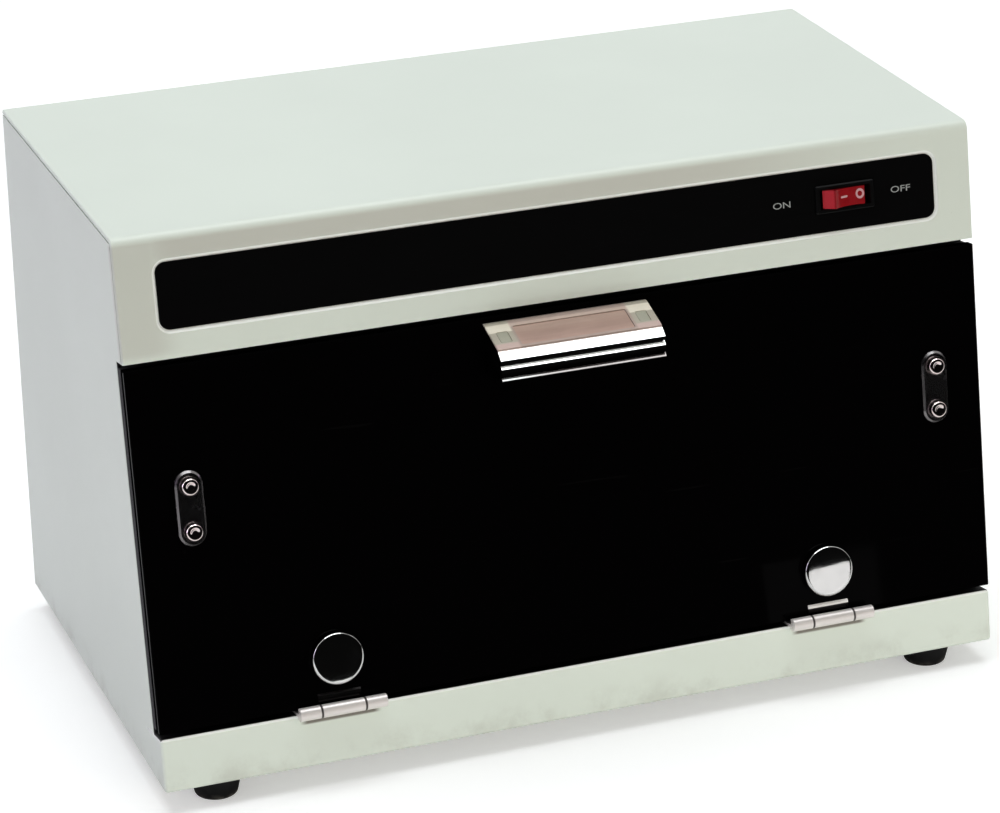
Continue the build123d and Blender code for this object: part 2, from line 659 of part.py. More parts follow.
def make_hinge_door_leaf(middle):
    """Clamp that grips the door's lower edge, with the middle knuckle."""
    half = KNUCKLE_LENGTH / 2
    web_top = DOOR_BOTTOM - 0.1
    web_foot = web_top - CLAMP_THICKNESS
    inside = -DOOR_THICKNESS - CLAMP_THICKNESS
    across = (middle - half, middle + half)
    leaf = slab(across, (web_foot, web_top), (inside, HINGE_AXIS_OUT))
    leaf += hinge_knuckle(middle - half, middle + half)
    lip_top = DOOR_BOTTOM + CLAMP_LIP
    lip = [
        (web_foot, 0),
        (lip_top, 0),
        (lip_top, CLAMP_THICKNESS - LIP_BEVEL),
        (lip_top - LIP_BEVEL, CLAMP_THICKNESS),
        (web_foot, CLAMP_THICKNESS),
    ]
    leaf += rib_solid(lip, *across)
    leaf += slab(across, (web_foot, CLAMP_BACK_TOP), (inside, -DOOR_THICKNESS))
    leaf -= across_rod(HINGE_AXIS_UP, HINGE_AXIS_OUT, PIN_DIAMETER + 2 * PIN_FIT,
                       middle - half - 1, middle + half + 1)
    leaf -= front_rod(middle, DISC_UP, SCREW_HOLE, inside - 1, -DOOR_THICKNESS + 1)
    return leaf


def make_hinge_disc(middle):
    """Domed cap on the door's face that takes the clamp screw."""
    radius = DISC_DIAMETER / 2
    face = radius - DISC_BEVEL
    shoulder = DISC_HEIGHT - DISC_CROWN
    bevel = Pos(0, 0, (DISC_RIM + shoulder) / 2) * Cone(radius, face, shoulder - DISC_RIM)
    ball = (face ** 2 + DISC_CROWN ** 2) / (2 * DISC_CROWN)
    dome = Pos(0, 0, DISC_HEIGHT - ball) * Sphere(ball)
    dome &= rod(2 * face, shoulder, DISC_HEIGHT + 1)
    cap = rod(DISC_DIAMETER, 0, DISC_RIM) + bevel + dome
    cap -= rod(SMALL_SCREW + 0.2, -1, DISC_HEIGHT - 2)
    return FRONT * Pos(middle, DISC_UP, 0) * cap


def make_clamp_screws():
    """Screws from behind the door into the two caps."""
    length = DOOR_THICKNESS + CLAMP_THICKNESS + 2.5
    screw = dome_screw(SCREW_HEAD + 2, SCREW_HEAD_HEIGHT, SMALL_SCREW, length)
    seat = -DOOR_THICKNESS - CLAMP_THICKNESS
    return [FRONT * Pos(sign * HINGE_X, DISC_UP, seat) * Rot(180, 0, 0) * screw for sign in (-1, 1)]


def make_leaf_screws():
    """Flush screws that hold the leaves to the ledge."""
    screw = dome_screw(SCREW_HEAD, 0.9, SMALL_SCREW, 7.0, flat=True)
    offsets = (-HINGE_LENGTH / 4, HINGE_LENGTH / 4)
    return [leaf_screw_axis(sign * HINGE_X + offset) * screw for sign in (-1, 1) for offset in offsets]


def handle_screw_up():
    """Height of the handle's screws up the front."""
    return (HANDLE_TOP + HANDLE_FOOT) / 2


def handle_top_plane():
    """Plane in the middle of the handle's sloping top."""
    middle = front_yz((HANDLE_TOP + HANDLE_NOSE) / 2, (HANDLE_PLATE + BROW_OUT) / 2)
    tilt = SLANT + atan2(HANDLE_NOSE - HANDLE_TOP, BROW_OUT - HANDLE_PLATE)
    return Plane(origin=(0, *middle), x_dir=(1, 0, 0), z_dir=(0, sin(tilt), cos(tilt)))


def handle_face():
    """The handle's front from its brow down: ledges that slope outwards, each over an upright riser."""
    points = []
    up = HANDLE_NOSE - HANDLE_BROW
    for ledge, riser in zip(HANDLE_LEDGES, HANDLE_RISERS):
        points.append((up, HANDLE_REACH - ledge * LEDGE_LEAN))
        points.append((up - ledge, HANDLE_REACH))
        up -= ledge + riser
        points.append((up, HANDLE_REACH))
    return points


def make_door_handle():
    """Hooked pull: back plate, sloping top, ridged front and closed ends, open underneath for fingers."""
    half = HANDLE_WIDTH / 2
    top_edge = [(HANDLE_FOOT, 0), (HANDLE_TOP, 0), (HANDLE_TOP, HANDLE_PLATE), (HANDLE_NOSE, BROW_OUT)]
    handle = rib_solid(top_edge + handle_face(), -half, half)
    wall = HANDLE_WALL
    inner = BROW_OUT - wall + 0.8
    grip = [
        (HANDLE_FOOT - 1, wall),
        (HANDLE_TOP - wall - 1.4, wall),
        (HANDLE_NOSE - wall, inner - 1.2),
        (HANDLE_NOSE - 2 * wall, inner),
        (HANDLE_FOOT - 1, inner),
    ]
    handle -= rib_solid(grip, wall - half, half - wall)
    for sign in (-1, 1):
        handle += front_rod(sign * HANDLE_SCREW_X, handle_screw_up(), HANDLE_POST, 0.5, HANDLE_POST)
        handle -= front_rod(sign * HANDLE_SCREW_X, handle_screw_up(), SMALL_SCREW + 0.2, -1, HANDLE_POST - 1)
    top = handle_top_plane()
    recess = RectangleRounded(INSERT_WIDTH, INSERT_DEPTH, 0.8)
    handle -= top * Pos(0, -INSERT_FORWARD, -INSERT_RECESS) * extrude(recess, amount=3)
    pad = RectangleRounded(PAD_WIDTH, PAD_DEPTH, 0.8)
    for sign in (-1, 1):
        across = sign * (half - PAD_FROM_END)
        handle -= top * Pos(across, -INSERT_FORWARD, -PAD_RECESS) * extrude(pad, amount=3)
    return handle


def make_handle_insert():
    """Tinted strip set in the handle's top."""
    top = handle_top_plane()
    strip = RectangleRounded(INSERT_WIDTH - 0.3, INSERT_DEPTH - 0.3, 0.7)
    return top * Pos(0, -INSERT_FORWARD, -INSERT_RECESS) * extrude(strip, amount=INSERT_RECESS - 0.3)


def make_handle_screws():
    """Two screws through the door into the handle's posts."""
    screw = dome_screw(SCREW_HEAD, SCREW_HEAD_HEIGHT - 0.2, SMALL_SCREW, DOOR_THICKNESS + 5.0)
    up = handle_screw_up()
    places = [FRONT * Pos(sign * HANDLE_SCREW_X, up, -DOOR_THICKNESS) for sign in (-1, 1)]
    return [place * Rot(180, 0, 0) * screw for place in places]


def catch_cover_heights():
    """Heights of the two screws of a catch plate."""
    return (CATCH_UP - CATCH_SPACING / 2, CATCH_UP + CATCH_SPACING / 2)


def make_catch_cover(sign):
    """Oval bright plate on the door's face."""
    outline = SlotOverall(CATCH_LENGTH, CATCH_WIDTH, rotation=90)
    plate = extrude(outline, amount=CATCH_COVER)
    plate = chamfer(plate.faces().sort_by(Axis.Z)[-1].edges(), 0.8)
    for offset in (-CATCH_SPACING / 2, CATCH_SPACING / 2):
        plate -= Pos(0, offset, 0) * rod(SCREW_HOLE, -1, CATCH_COVER + 1)
    return FRONT * Pos(sign * CATCH_X, CATCH_UP, 0) * plate


def make_strike_plate(sign):
    """Steel plate behind the door that the magnet holds."""
    across = (sign * CATCH_X - CATCH_WIDTH / 2, sign * CATCH_X + CATCH_WIDTH / 2)
    up = (CATCH_UP - CATCH_LENGTH / 2, CATCH_UP + CATCH_LENGTH / 2)
    plate = slab(across, up, (-DOOR_THICKNESS - STRIKE_THICKNESS, -DOOR_THICKNESS))
    for height in catch_cover_heights():
        plate -= front_rod(sign * CATCH_X, height, SMALL_SCREW + 0.2, -DOOR_THICKNESS - 3, 0)
    return plate


def make_catch_cover_screws():
    """Four domed screws through the bright plates, the door and the strike plates."""
    length = CATCH_COVER + DOOR_THICKNESS + STRIKE_THICKNESS
    screw = dome_screw(7.6, 2.3, SMALL_SCREW, length)
    heights = catch_cover_heights()
    return [FRONT * Pos(sign * CATCH_X, up, CATCH_COVER) * screw for sign in (-1, 1) for up in heights]


def catch_span(sign):
    """Limits along X of a catch body, with its back on the lining's side wall."""
    wall = LINER_HALF - LINER_SHEET
    return sorted((sign * wall, sign * (wall - CATCH_BODY_WIDTH)))


def catch_front():
    """Distance out of the magnets' faces."""
    return -DOOR_THICKNESS - STRIKE_THICKNESS - MAGNET_GAP


def catch_screw_heights():
    """Heights of a catch body's two fixing screws."""
    reach = CATCH_BODY_LENGTH / 2 - 4.0
    return (CATCH_UP - reach, CATCH_UP + reach)


def catch_screw_axis(sign, up):
    """Axis of a catch screw: it points into the chamber, with zero on the catch body's inner face."""
    y, z = front_yz(up, LINER_FRONT_OUT - 5.0)
    near = LINER_HALF - LINER_SHEET - CATCH_BODY_WIDTH
    return Pos(sign * near, y, z) * Rot(0, -90 * sign, 0)


def make_catch_body(sign):
    """Catch body on the lining's side wall with a pocket for its magnet."""
    back = catch_front() - 0.8 - CATCH_BODY_DEPTH
    body = slab(catch_span(sign), (CATCH_UP - CATCH_BODY_LENGTH / 2, CATCH_UP + CATCH_BODY_LENGTH / 2),
                (back, catch_front() - 0.8))
    body = fillet(body.edges(), 0.8)
    body -= magnet_block(sign, MAGNET_FIT)
    for up in catch_screw_heights():
        body -= catch_screw_axis(sign, up) * rod(SCREW_HOLE, -30, 5)
    return body


def magnet_block(sign, margin):
    """Magnet with its pole plates, grown by a margin for its pocket."""
    span = catch_span(sign)
    return slab((span[0] + 2.5 - margin, span[1] - 2.5 + margin),
                (CATCH_UP - 9.0 - margin, CATCH_UP + 9.0 + margin),
                (catch_front() - 10.0 - margin, catch_front()))


def make_catch_screws():
    """Four screws that hold the catch bodies to the lining."""
    screw = dome_screw(SCREW_HEAD, 1.6, SMALL_SCREW, CATCH_BODY_WIDTH + 3.0)
    return [catch_screw_axis(sign, up) * screw for sign in (-1, 1) for up in catch_screw_heights()]


def make_header_label():
    """Thin dark panel in the header's pressed place, with the switch's cut-out."""
    panel = rounded_slab(LABEL_WIDTH, LABEL_HEIGHT, LABEL_CORNER, LABEL_UP,
                         (-LABEL_RECESS, LABEL_THICKNESS - LABEL_RECESS))
    return panel - switch_slot(1.0)


def make_switch_housing():
    """Switch body behind the header with its bezel on the panel."""
    seat = LABEL_THICKNESS - LABEL_RECESS
    reach = (seat, seat + BEZEL_THICKNESS)
    bezel = rounded_slab(BEZEL_LENGTH, BEZEL_HEIGHT, 0.8, SWITCH_UP, reach, SWITCH_X)
    outer_face = bezel.faces().sort_by(Axis((0, 0, 0), tuple(FRONT.z_dir)))[-1]
    bezel = chamfer(outer_face.edges(), 0.5)
    half = SWITCH_BODY_LENGTH / 2
    body = slab((SWITCH_X - half, SWITCH_X + half),
                (SWITCH_UP - SWITCH_BODY_HEIGHT / 2, SWITCH_UP + SWITCH_BODY_HEIGHT / 2),
                (seat - SWITCH_BODY_DEPTH, seat))
    well_length = ROCKER_LENGTH / 2 + ROCKER_CLEARANCE
    well_height = ROCKER_HEIGHT / 2 + ROCKER_CLEARANCE
    well = slab((SWITCH_X - well_length, SWITCH_X + well_length),
                (SWITCH_UP - well_height, SWITCH_UP + well_height),
                (seat - 11.0, seat + 5))
    housing = bezel + body - well
    bore = Cylinder(ROCKER_PIN / 2 + PIN_FIT, ROCKER_HEIGHT + 2 * ROCKER_CLEARANCE + 1.2)
    return housing - switch_pivot() * Rot(90, 0, 0) * bore


def switch_pivot():
    """Middle of the rocker's pivot."""
    seat = LABEL_THICKNESS - LABEL_RECESS
    return FRONT.location * Pos(SWITCH_X, SWITCH_UP, seat - ROCKER_PIVOT_DEPTH)


def make_switch_rocker():
    """Rocker with two lobes on a cross pin, tipped so that its right end is pressed in."""
    half = ROCKER_LENGTH / 2 - 0.35
    crest = half - ROCKER_LOBE
    deep = ROCKER_PIVOT_DEPTH
    outline = make_face([
        Line((-half, deep - 1.4), (-crest, deep + 3.2)),
        ThreePointArc((-crest, deep + 3.2), (0, deep + 1.5), (crest, deep + 3.2)),
        Line((crest, deep + 3.2), (half, deep - 1.4)),
        Line((half, deep - 1.4), (half - 2.4, -1.6)),
        ThreePointArc((half - 2.4, -1.6), (0, -3.6), (-half + 2.4, -1.6)),
        Line((-half + 2.4, -1.6), (-half, deep - 1.4)),
    ])
    body = Pos(0, ROCKER_HEIGHT / 2, 0) * extrude(Plane.XZ * outline, amount=ROCKER_HEIGHT)
    pin = Rot(90, 0, 0) * Cylinder(ROCKER_PIN / 2, ROCKER_HEIGHT + 2 * ROCKER_CLEARANCE + 0.9)
    return switch_pivot() * Rot(0, ROCKER_TILT, 0) * (body + pin)


def make_switch_terminals():
    """Two blades behind the switch."""
    back = LABEL_THICKNESS - LABEL_RECESS - SWITCH_BODY_DEPTH
    blades = []
    for offset in (-5.0, 5.0):
        across = (SWITCH_X + offset - 0.4, SWITCH_X + offset + 0.4)
        blade = slab(across, (SWITCH_UP - 2.4, SWITCH_UP + 2.4), (back - 8.0, back))
        eye = FRONT * Pos(SWITCH_X + offset, SWITCH_UP, back - 6) * Rot(0, 90, 0) * Cylinder(0.8, 2)
        blades.append(blade - eye)
    return blades


def make_lamp_reflector():
    """Folded bright reflector under the chamber's ceiling."""
    top = LINER_CEILING
    crown = REFLECTOR_WIDTH / 5
    reach = REFLECTOR_WIDTH / 2
    drop = 9.0
    sheet = REFLECTOR_SHEET
    outline = [
        (LAMP_Y - crown, top),
        (LAMP_Y + crown, top),
        (LAMP_Y + reach, top - drop),
        (LAMP_Y + reach - sheet, top - drop),
        (LAMP_Y + crown - sheet * 0.3, top - sheet),
        (LAMP_Y - crown + sheet * 0.3, top - sheet),
        (LAMP_Y - reach + sheet, top - drop),
        (LAMP_Y - reach, top - drop),
    ]
    half = CAP_END - HOLDER_THICKNESS / 2
    return side_solid(outline, -half, half)


def make_lamp_tube():
    """Glass tube, hollow, closed by the caps."""
    tube = Cylinder(TUBE_DIAMETER / 2, TUBE_LENGTH) - Cylinder(TUBE_DIAMETER / 2 - 0.8, TUBE_LENGTH - 4)
    return Pos(0, LAMP_Y, LAMP_Z) * Rot(0, 90, 0) * tube


def make_lamp_end_caps():
    """Metal caps at both ends of the tube."""
    caps = []
    for sign in (-1, 1):
        cap = rod(CAP_DIAMETER, 0, CAP_LENGTH)
        cap = fillet(cap.edges().sort_by(Axis.Z)[-1], 1.2)
        caps.append(Pos(sign * TUBE_LENGTH / 2, LAMP_Y, LAMP_Z) * Rot(0, 90 * sign, 0) * cap)
    return caps


def make_lamp_pins():
    """Two pins on each cap."""
    pins = []
    for sign in (-1, 1):
        for offset in (-LAMP_PIN_SPACING / 2, LAMP_PIN_SPACING / 2):
            pin = fillet(rod(LAMP_PIN_DIAMETER, 0, LAMP_PIN_LENGTH).edges().sort_by(Axis.Z)[-1], 0.6)
            pins.append(Pos(sign * CAP_END, LAMP_Y + offset, LAMP_Z) * Rot(0, 90 * sign, 0) * pin)
    return pins


def make_lamp_holder(sign):
    """Lampholder hanging from the ceiling, slotted for the lamp's pins."""
    near = CAP_END + SEAT_GAP
    far = near + HOLDER_THICKNESS
    foot = LAMP_Z - HOLDER_WIDTH / 2 + 1
    left, right = sorted((sign * near, sign * far))
    wide = HOLDER_WIDTH / 2
    holder = block((left, right), (LAMP_Y - wide, LAMP_Y + wide), (foot, LINER_CEILING))
    rounded = edges_near(holder, lambda p: abs(p.Z - foot) < 0.01 and abs(abs(p.Y - LAMP_Y) - wide) < 0.01)
    holder = fillet(rounded, 6.0)
    slot = LAMP_PIN_SPACING / 2 + LAMP_PIN_DIAMETER / 2 + 0.3
    left, right = sorted((sign * (near - 1), sign * (near + LAMP_PIN_LENGTH)))
    return holder - block((left, right), (LAMP_Y - slot, LAMP_Y + slot), (LAMP_Z - 1.6, LAMP_Z + 1.6))


def make_tool_tray():
    """Lift-out tray with slots in its floor."""
    half = TRAY_WIDTH / 2
    heights = (LINER_FLOOR, LINER_FLOOR + TRAY_HEIGHT)
    tray = block((-half, half), (TRAY_FRONT, TRAY_FRONT + TRAY_DEPTH), heights)
    foot = tray.edges().filter_by(Axis.Z) + tray.faces().sort_by(Axis.Z)[0].edges()
    tray = fillet(foot, 3.0)
    inner = block((-half + TRAY_SHEET, half - TRAY_SHEET),
                  (TRAY_FRONT + TRAY_SHEET, TRAY_FRONT + TRAY_DEPTH - TRAY_SHEET),
                  (LINER_FLOOR + TRAY_SHEET, LINER_FLOOR + TRAY_HEIGHT + 10))
    inner_edges = inner.edges().filter_by(Axis.Z) + inner.faces().sort_by(Axis.Z)[0].edges()
    tray -= fillet(inner_edges, 3.0 - TRAY_SHEET)
    slot = extrude(SlotOverall(26.0, 5.0), amount=4)
    slots = []
    columns = 9
    rows = 8
    for column in range(columns):
        for row in range(rows):
            x = (column - (columns - 1) / 2) * (TRAY_WIDTH - 22.0) / columns
            y = TRAY_FRONT + TRAY_DEPTH / 2 + (row - (rows - 1) / 2) * (TRAY_DEPTH - 18.0) / rows
            slots.append(Pos(x, y, LINER_FLOOR - 2) * slot)
    return tray - slots


def door_switch_hole():
    """Hole for the plunger through the gasket and the flanges."""
    diameter = PLUNGER_DIAMETER + 2 * PLUNGER_CLEARANCE
    return front_rod(DOOR_SWITCH_X, DOOR_SWITCH_UP, diameter, LINER_FRONT_OUT - 4, 0)


def make_door_switch():
    """Switch behind the right flange that the closed door holds pressed."""
    face = LINER_FRONT_OUT - LINER_SHEET
    half = DOOR_SWITCH_WIDTH / 2
    body = slab((DOOR_SWITCH_X - half, DOOR_SWITCH_X + half),
                (DOOR_SWITCH_UP - DOOR_SWITCH_LENGTH / 2, DOOR_SWITCH_UP + DOOR_SWITCH_LENGTH / 2),
                (face - DOOR_SWITCH_DEPTH, face))
    bore = PLUNGER_DIAMETER + 2 * PLUNGER_CLEARANCE
    body -= front_rod(DOOR_SWITCH_X, DOOR_SWITCH_UP, bore, face - 11.0, face + 1)
    for offset in (-6.0, 0.0, 6.0):
        across = (DOOR_SWITCH_X - 1.5, DOOR_SWITCH_X + 1.5)
        body += slab(across, (DOOR_SWITCH_UP + offset - 0.3, DOOR_SWITCH_UP + offset + 0.3),
                     (face - DOOR_SWITCH_DEPTH - 6.0, face - DOOR_SWITCH_DEPTH))
    return body


def make_door_switch_plunger():
    """Plunger that reaches to just behind the closed door."""
    tip = -DOOR_THICKNESS - SEAT_GAP
    tail = LINER_FRONT_OUT - LINER_SHEET - 10.7
    plunger = rod(PLUNGER_DIAMETER, tail, tip)
    plunger = fillet(plunger.edges().sort_by(Axis.Z)[-1], 1.2)
    return FRONT * Pos(DOOR_SWITCH_X, DOOR_SWITCH_UP, 0) * plunger


def make_ballast():
    """Laminated choke with its mounting feet, on the lining's roof."""
    half = BALLAST_LENGTH / 2
    wide = BALLAST_WIDTH / 2
    foot = BALLAST_LENGTH / 2 + 9.0
    base = ROOF + PART_SEAT
    choke = block((BALLAST_X - half, BALLAST_X + half), (PARTS_Y - wide, PARTS_Y + wide),
                  (base, base + BALLAST_HEIGHT))
    choke = chamfer(choke.edges().filter_by(Axis.X), 1.5)
    span = (BALLAST_X - foot, BALLAST_X + foot)
    choke += block(span, (PARTS_Y - wide, PARTS_Y + wide), (base, base + 1.2))
    for sign in (-1, 1):
        choke -= Pos(BALLAST_X + sign * (foot - 4.5), PARTS_Y, base) * Cylinder(2.2, 6)
    return choke


def make_starter_socket():
    """Socket that lies on the roof and takes the starter."""
    radius = STARTER_DIAMETER / 2 + STARTER_WALL
    centre = ROOF + PART_SEAT + radius
    left = STARTER_X - STARTER_LENGTH / 2
    heights = (ROOF + PART_SEAT, centre + radius)
    cup = block((left - 8, left + 6), (PARTS_Y - radius, PARTS_Y + radius), heights)
    cup = fillet(cup.edges().filter_by(Axis.X), 2.0)
    bore = rod(STARTER_DIAMETER + 0.6, 0, 20)
    cup -= Pos(left - 0.3, PARTS_Y, centre) * Rot(0, 90, 0) * bore
    return cup


def make_starter():
    """Glow starter lying in its socket."""
    radius = STARTER_DIAMETER / 2 + STARTER_WALL
    centre = ROOF + PART_SEAT + radius
    can = rod(STARTER_DIAMETER, 0, STARTER_LENGTH)
    can = fillet(can.edges().sort_by(Axis.Z)[-1], 2.0)
    return Pos(STARTER_X - STARTER_LENGTH / 2, PARTS_Y, centre) * Rot(0, 90, 0) * can


def make_terminal_block():
    """Three-way terminal block on the roof."""
    base = ROOF + PART_SEAT
    half = 1.5 * TERMINAL_PITCH
    rail = block((TERMINAL_X - half, TERMINAL_X + half), (PARTS_Y - 8, PARTS_Y + 8), (base, base + 7))
    for place in (-1, 0, 1):
        x = TERMINAL_X + place * TERMINAL_PITCH
        rail += block((x - 3.6, x + 3.6), (PARTS_Y - 6, PARTS_Y + 6), (base + 7, base + 14))
        rail -= Pos(x, PARTS_Y, base + TERMINAL_BORE_UP) * Rot(90, 0, 0) * Cylinder(TERMINAL_BORE / 2, 20)
        rail -= Pos(x, PARTS_Y - 3, base + 14) * Cylinder(1.5, 8)
        rail -= Pos(x, PARTS_Y + 3, base + 14) * Cylinder(1.5, 8)
    return rail


def make_mains_inlet():
    """Appliance inlet with a screwed flange on the rear panel."""
    width = INLET_FLANGE_WIDTH / 2
    height = INLET_FLANGE_HEIGHT / 2
    outline = RectangleRounded(INLET_FLANGE_WIDTH, INLET_FLANGE_HEIGHT, 5.0)
    outline += RectangleRounded(INLET_BODY_WIDTH + 3, INLET_FLANGE_HEIGHT + 2, 3.0)
    body = extrude(outline, amount=INLET_FLANGE)
    body = chamfer(body.faces().sort_by(Axis.Z)[-1].edges(), 0.7)
    body += Pos(0, 0, -INLET_DEPTH / 2) * Box(INLET_BODY_WIDTH, INLET_BODY_HEIGHT, INLET_DEPTH)
    mouth = make_face(Polyline(
        (-INLET_MOUTH_WIDTH / 2, -INLET_MOUTH_HEIGHT / 2),
        (INLET_MOUTH_WIDTH / 2, -INLET_MOUTH_HEIGHT / 2),
        (INLET_MOUTH_WIDTH / 2, INLET_MOUTH_HEIGHT / 2 - 4.5),
        (INLET_MOUTH_WIDTH / 2 - 4.5, INLET_MOUTH_HEIGHT / 2),
        (-INLET_MOUTH_WIDTH / 2 + 4.5, INLET_MOUTH_HEIGHT / 2),
        (-INLET_MOUTH_WIDTH / 2, INLET_MOUTH_HEIGHT / 2 - 4.5),
        close=True,
    ))
    body -= Pos(0, 0, INLET_FLANGE - 16.0) * extrude(mouth, amount=20)
    for sign in (-1, 1):
        body -= Pos(sign * INLET_SCREW_SPACING / 2, 0, 0) * Cylinder(SCREW_HOLE / 2, 10)
    for x, y, wide, tall in inlet_pin_places():
        body -= Pos(x, y, INLET_FLANGE - 16.0) * Box(wide + 0.2, tall + 0.2, 20)
    return inlet_axis() * body


def inlet_axis():
    """Axis of the inlet: it points backwards out of the rear panel."""
    return Pos(INLET_X, DEPTH_BOTTOM, INLET_Z) * Rot(-90, 0, 0) * Rot(0, 0, 180)


def inlet_pin_places():
    """Middle, width and height of each blade in the inlet's mouth: earth above, live and neutral below."""
    return ((0.0, 4.4, 3.8, 1.8), (-7.0, 0.6, 1.8, 3.8), (7.0, 0.6, 1.8, 3.8))


def make_inlet_pins():
    """Three blades through the inlet's floor."""
    blades = []
    for x, y, wide, tall in inlet_pin_places():
        blades.append(inlet_axis() * Pos(x, y, -INLET_BLADE / 2) * Box(wide, tall, INLET_BLADE))
    return blades


def make_inlet_screws():
    """Two screws through the inlet's flange."""
    screw = dome_screw(SCREW_HEAD, SCREW_HEAD_HEIGHT, SMALL_SCREW, 9.0)
    return [inlet_axis() * Pos(sign * INLET_SCREW_SPACING / 2, 0, INLET_FLANGE) * screw for sign in (-1, 1)]


def make_foot():
    """Tapered rubber foot with a sunk seat for its screw."""
    foot = Pos(0, 0, -FOOT_HEIGHT / 2) * Cone(FOOT_BOTTOM_DIAMETER / 2, FOOT_TOP_DIAMETER / 2, FOOT_HEIGHT)
    foot = fillet(foot.edges().sort_by(Axis.Z)[0], 1.4)
    foot -= rod(FOOT_SCREW_HEAD + 1.2, -FOOT_HEIGHT - 1, -FOOT_HEIGHT + FOOT_SCREW_SINK)
    return foot - rod(FOOT_SCREW + 0.4, -FOOT_HEIGHT, 1)


def make_foot_screws():
    """Screws up through the feet into the nuts."""
    screw = dome_screw(FOOT_SCREW_HEAD, 2.6, FOOT_SCREW - 0.1, 13.0)
    seat = -FOOT_HEIGHT + FOOT_SCREW_SINK
    return [Pos(x, y, seat) * Rot(180, 0, 0) * screw for name, x, y in foot_places()]


def make_foot_nuts():
    """Hexagon nuts on the inside of the base."""
    nut = extrude(RegularPolygon(4.04, 6), amount=3.2) - Cylinder(FOOT_SCREW / 2 + 0.1, 10)
    return [Pos(x, y, SHEET) * nut for name, x, y in foot_places()]


def wire(points, radius):
    """Insulated wire through the points, with a tangent arc at each turn."""
    path = FilletPolyline(*points, radius=radius)
    profile = Plane(origin=path @ 0, z_dir=path % 0) * Circle(WIRE_DIAMETER / 2)
    return sweep(profile, path=path)


def make_wiring():
    """Wires on the roof: inlet to terminals, terminals to switch, choke, starter and lampholders."""
    low = ROOF + 2 * PART_SEAT + TERMINAL_BORE_UP - (TERMINAL_BORE - WIRE_DIAMETER) / 2
    high = ROOF + 16.0
    gap = 0.6
    grip = PARTS_Y - 4.0
    wires = []
    inlet_back = DEPTH_BOTTOM - INLET_BLADE - gap
    for x, up, wide, tall in inlet_pin_places():
        start = INLET_X - x
        end = TERMINAL_X - x * TERMINAL_PITCH / 7.0
        wires.append(wire([
            (start, inlet_back, INLET_Z + up),
            (start, inlet_back - 14, INLET_Z + up),
            (end, PARTS_Y + 26, low + 4),
            (end, PARTS_Y + 4.0, low),
        ], 4.0))
    switch_y, switch_z = front_yz(SWITCH_UP, LABEL_THICKNESS - LABEL_RECESS - SWITCH_BODY_DEPTH - 8.0 - gap)
    for place, offset in enumerate((-5.0, 5.0)):
        end = TERMINAL_X + place * TERMINAL_PITCH
        wires.append(wire([
            (SWITCH_X + offset, switch_y, switch_z),
            (SWITCH_X + offset, switch_y + 12, switch_z - 2),
            (end, PARTS_Y - 30, low + 6),
            (end, grip, low),
        ], 5.0))
    choke_face = PARTS_Y - BALLAST_WIDTH / 2 - gap
    socket_face = PARTS_Y - STARTER_DIAMETER / 2 - STARTER_WALL - gap
    wires.append(wire([
        (TERMINAL_X - TERMINAL_PITCH, grip, low),
        (TERMINAL_X - TERMINAL_PITCH, PARTS_Y - 26, low),
        (BALLAST_X + 30, PARTS_Y - 38, low),
        (BALLAST_X + 30, choke_face, low + 4),
    ], 5.0))
    wires.append(wire([
        (BALLAST_X - 30, choke_face, low + 4),
        (BALLAST_X - 30, PARTS_Y - 38, low),
        (STARTER_X - 22, PARTS_Y - 34, low),
        (STARTER_X - 22, socket_face, low + 6),
    ], 6.0))
    holder = CAP_END + SEAT_GAP + HOLDER_THICKNESS / 2
    socket_side = STARTER_X - STARTER_LENGTH / 2 - 8.0 - gap
    wires.append(wire([
        (-holder, LAMP_Y, LINER_CEILING + SEAT_GAP),
        (-holder, LAMP_Y, high),
        (-holder + 14, PARTS_Y, high),
        (socket_side, PARTS_Y, high - 4),
    ], 4.0))
    wires.append(wire([
        (holder, LAMP_Y, LINER_CEILING + SEAT_GAP),
        (holder, LAMP_Y, high + 2),
        (holder - 42, LAMP_Y + 12, high + 4),
        (BALLAST_X + BALLAST_LENGTH / 2 + gap, PARTS_Y - 8, high),
    ], 5.0))
    return wires


os.makedirs("parts", exist_ok=True)

save("cabinet_shell", make_cabinet_shell())
save("top_cover", make_top_cover())
save("rear_panel", make_rear_panel())
save("rear_panel_screws", make_rear_screws(rear_screw_places()))
save("cover_screws", make_rear_screws(cover_screw_places()))
save("chamber_liner", make_chamber_liner())
save("door_gasket", make_door_gasket())
save("header_label", make_header_label())
save("switch_housing", make_switch_housing())
save("switch_rocker", make_switch_rocker())
save("switch_terminals", make_switch_terminals())
save("lamp_reflector", make_lamp_reflector())
save("lamp_tube", make_lamp_tube())
save("lamp_end_caps", make_lamp_end_caps())
save("lamp_pins", make_lamp_pins())
save("tool_tray", make_tool_tray())
save("door_switch", make_door_switch())
save("door_switch_plunger", make_door_switch_plunger())
save("ballast", make_ballast())
save("starter_socket", make_starter_socket())
save("starter", make_starter())
save("terminal_block", make_terminal_block())
save("wiring", make_wiring())
save("mains_inlet", make_mains_inlet())
save("inlet_pins", make_inlet_pins())
save("inlet_screws", make_inlet_screws())
for place_name, foot_x, foot_y in foot_places():
    save("foot_" + place_name, Pos(foot_x, foot_y, 0) * make_foot())
save("foot_screws", make_foot_screws())
save("foot_nuts", make_foot_nuts())
save("door_panel", make_door_panel())
save("door_handle", make_door_handle())
save("handle_insert", make_handle_insert())
save("handle_screws", make_handle_screws())
save("catch_cover_screws", make_catch_cover_screws())
save("catch_screws", make_catch_screws())
save("hinge_clamp_screws", make_clamp_screws())
save("hinge_leaf_screws", make_leaf_screws())
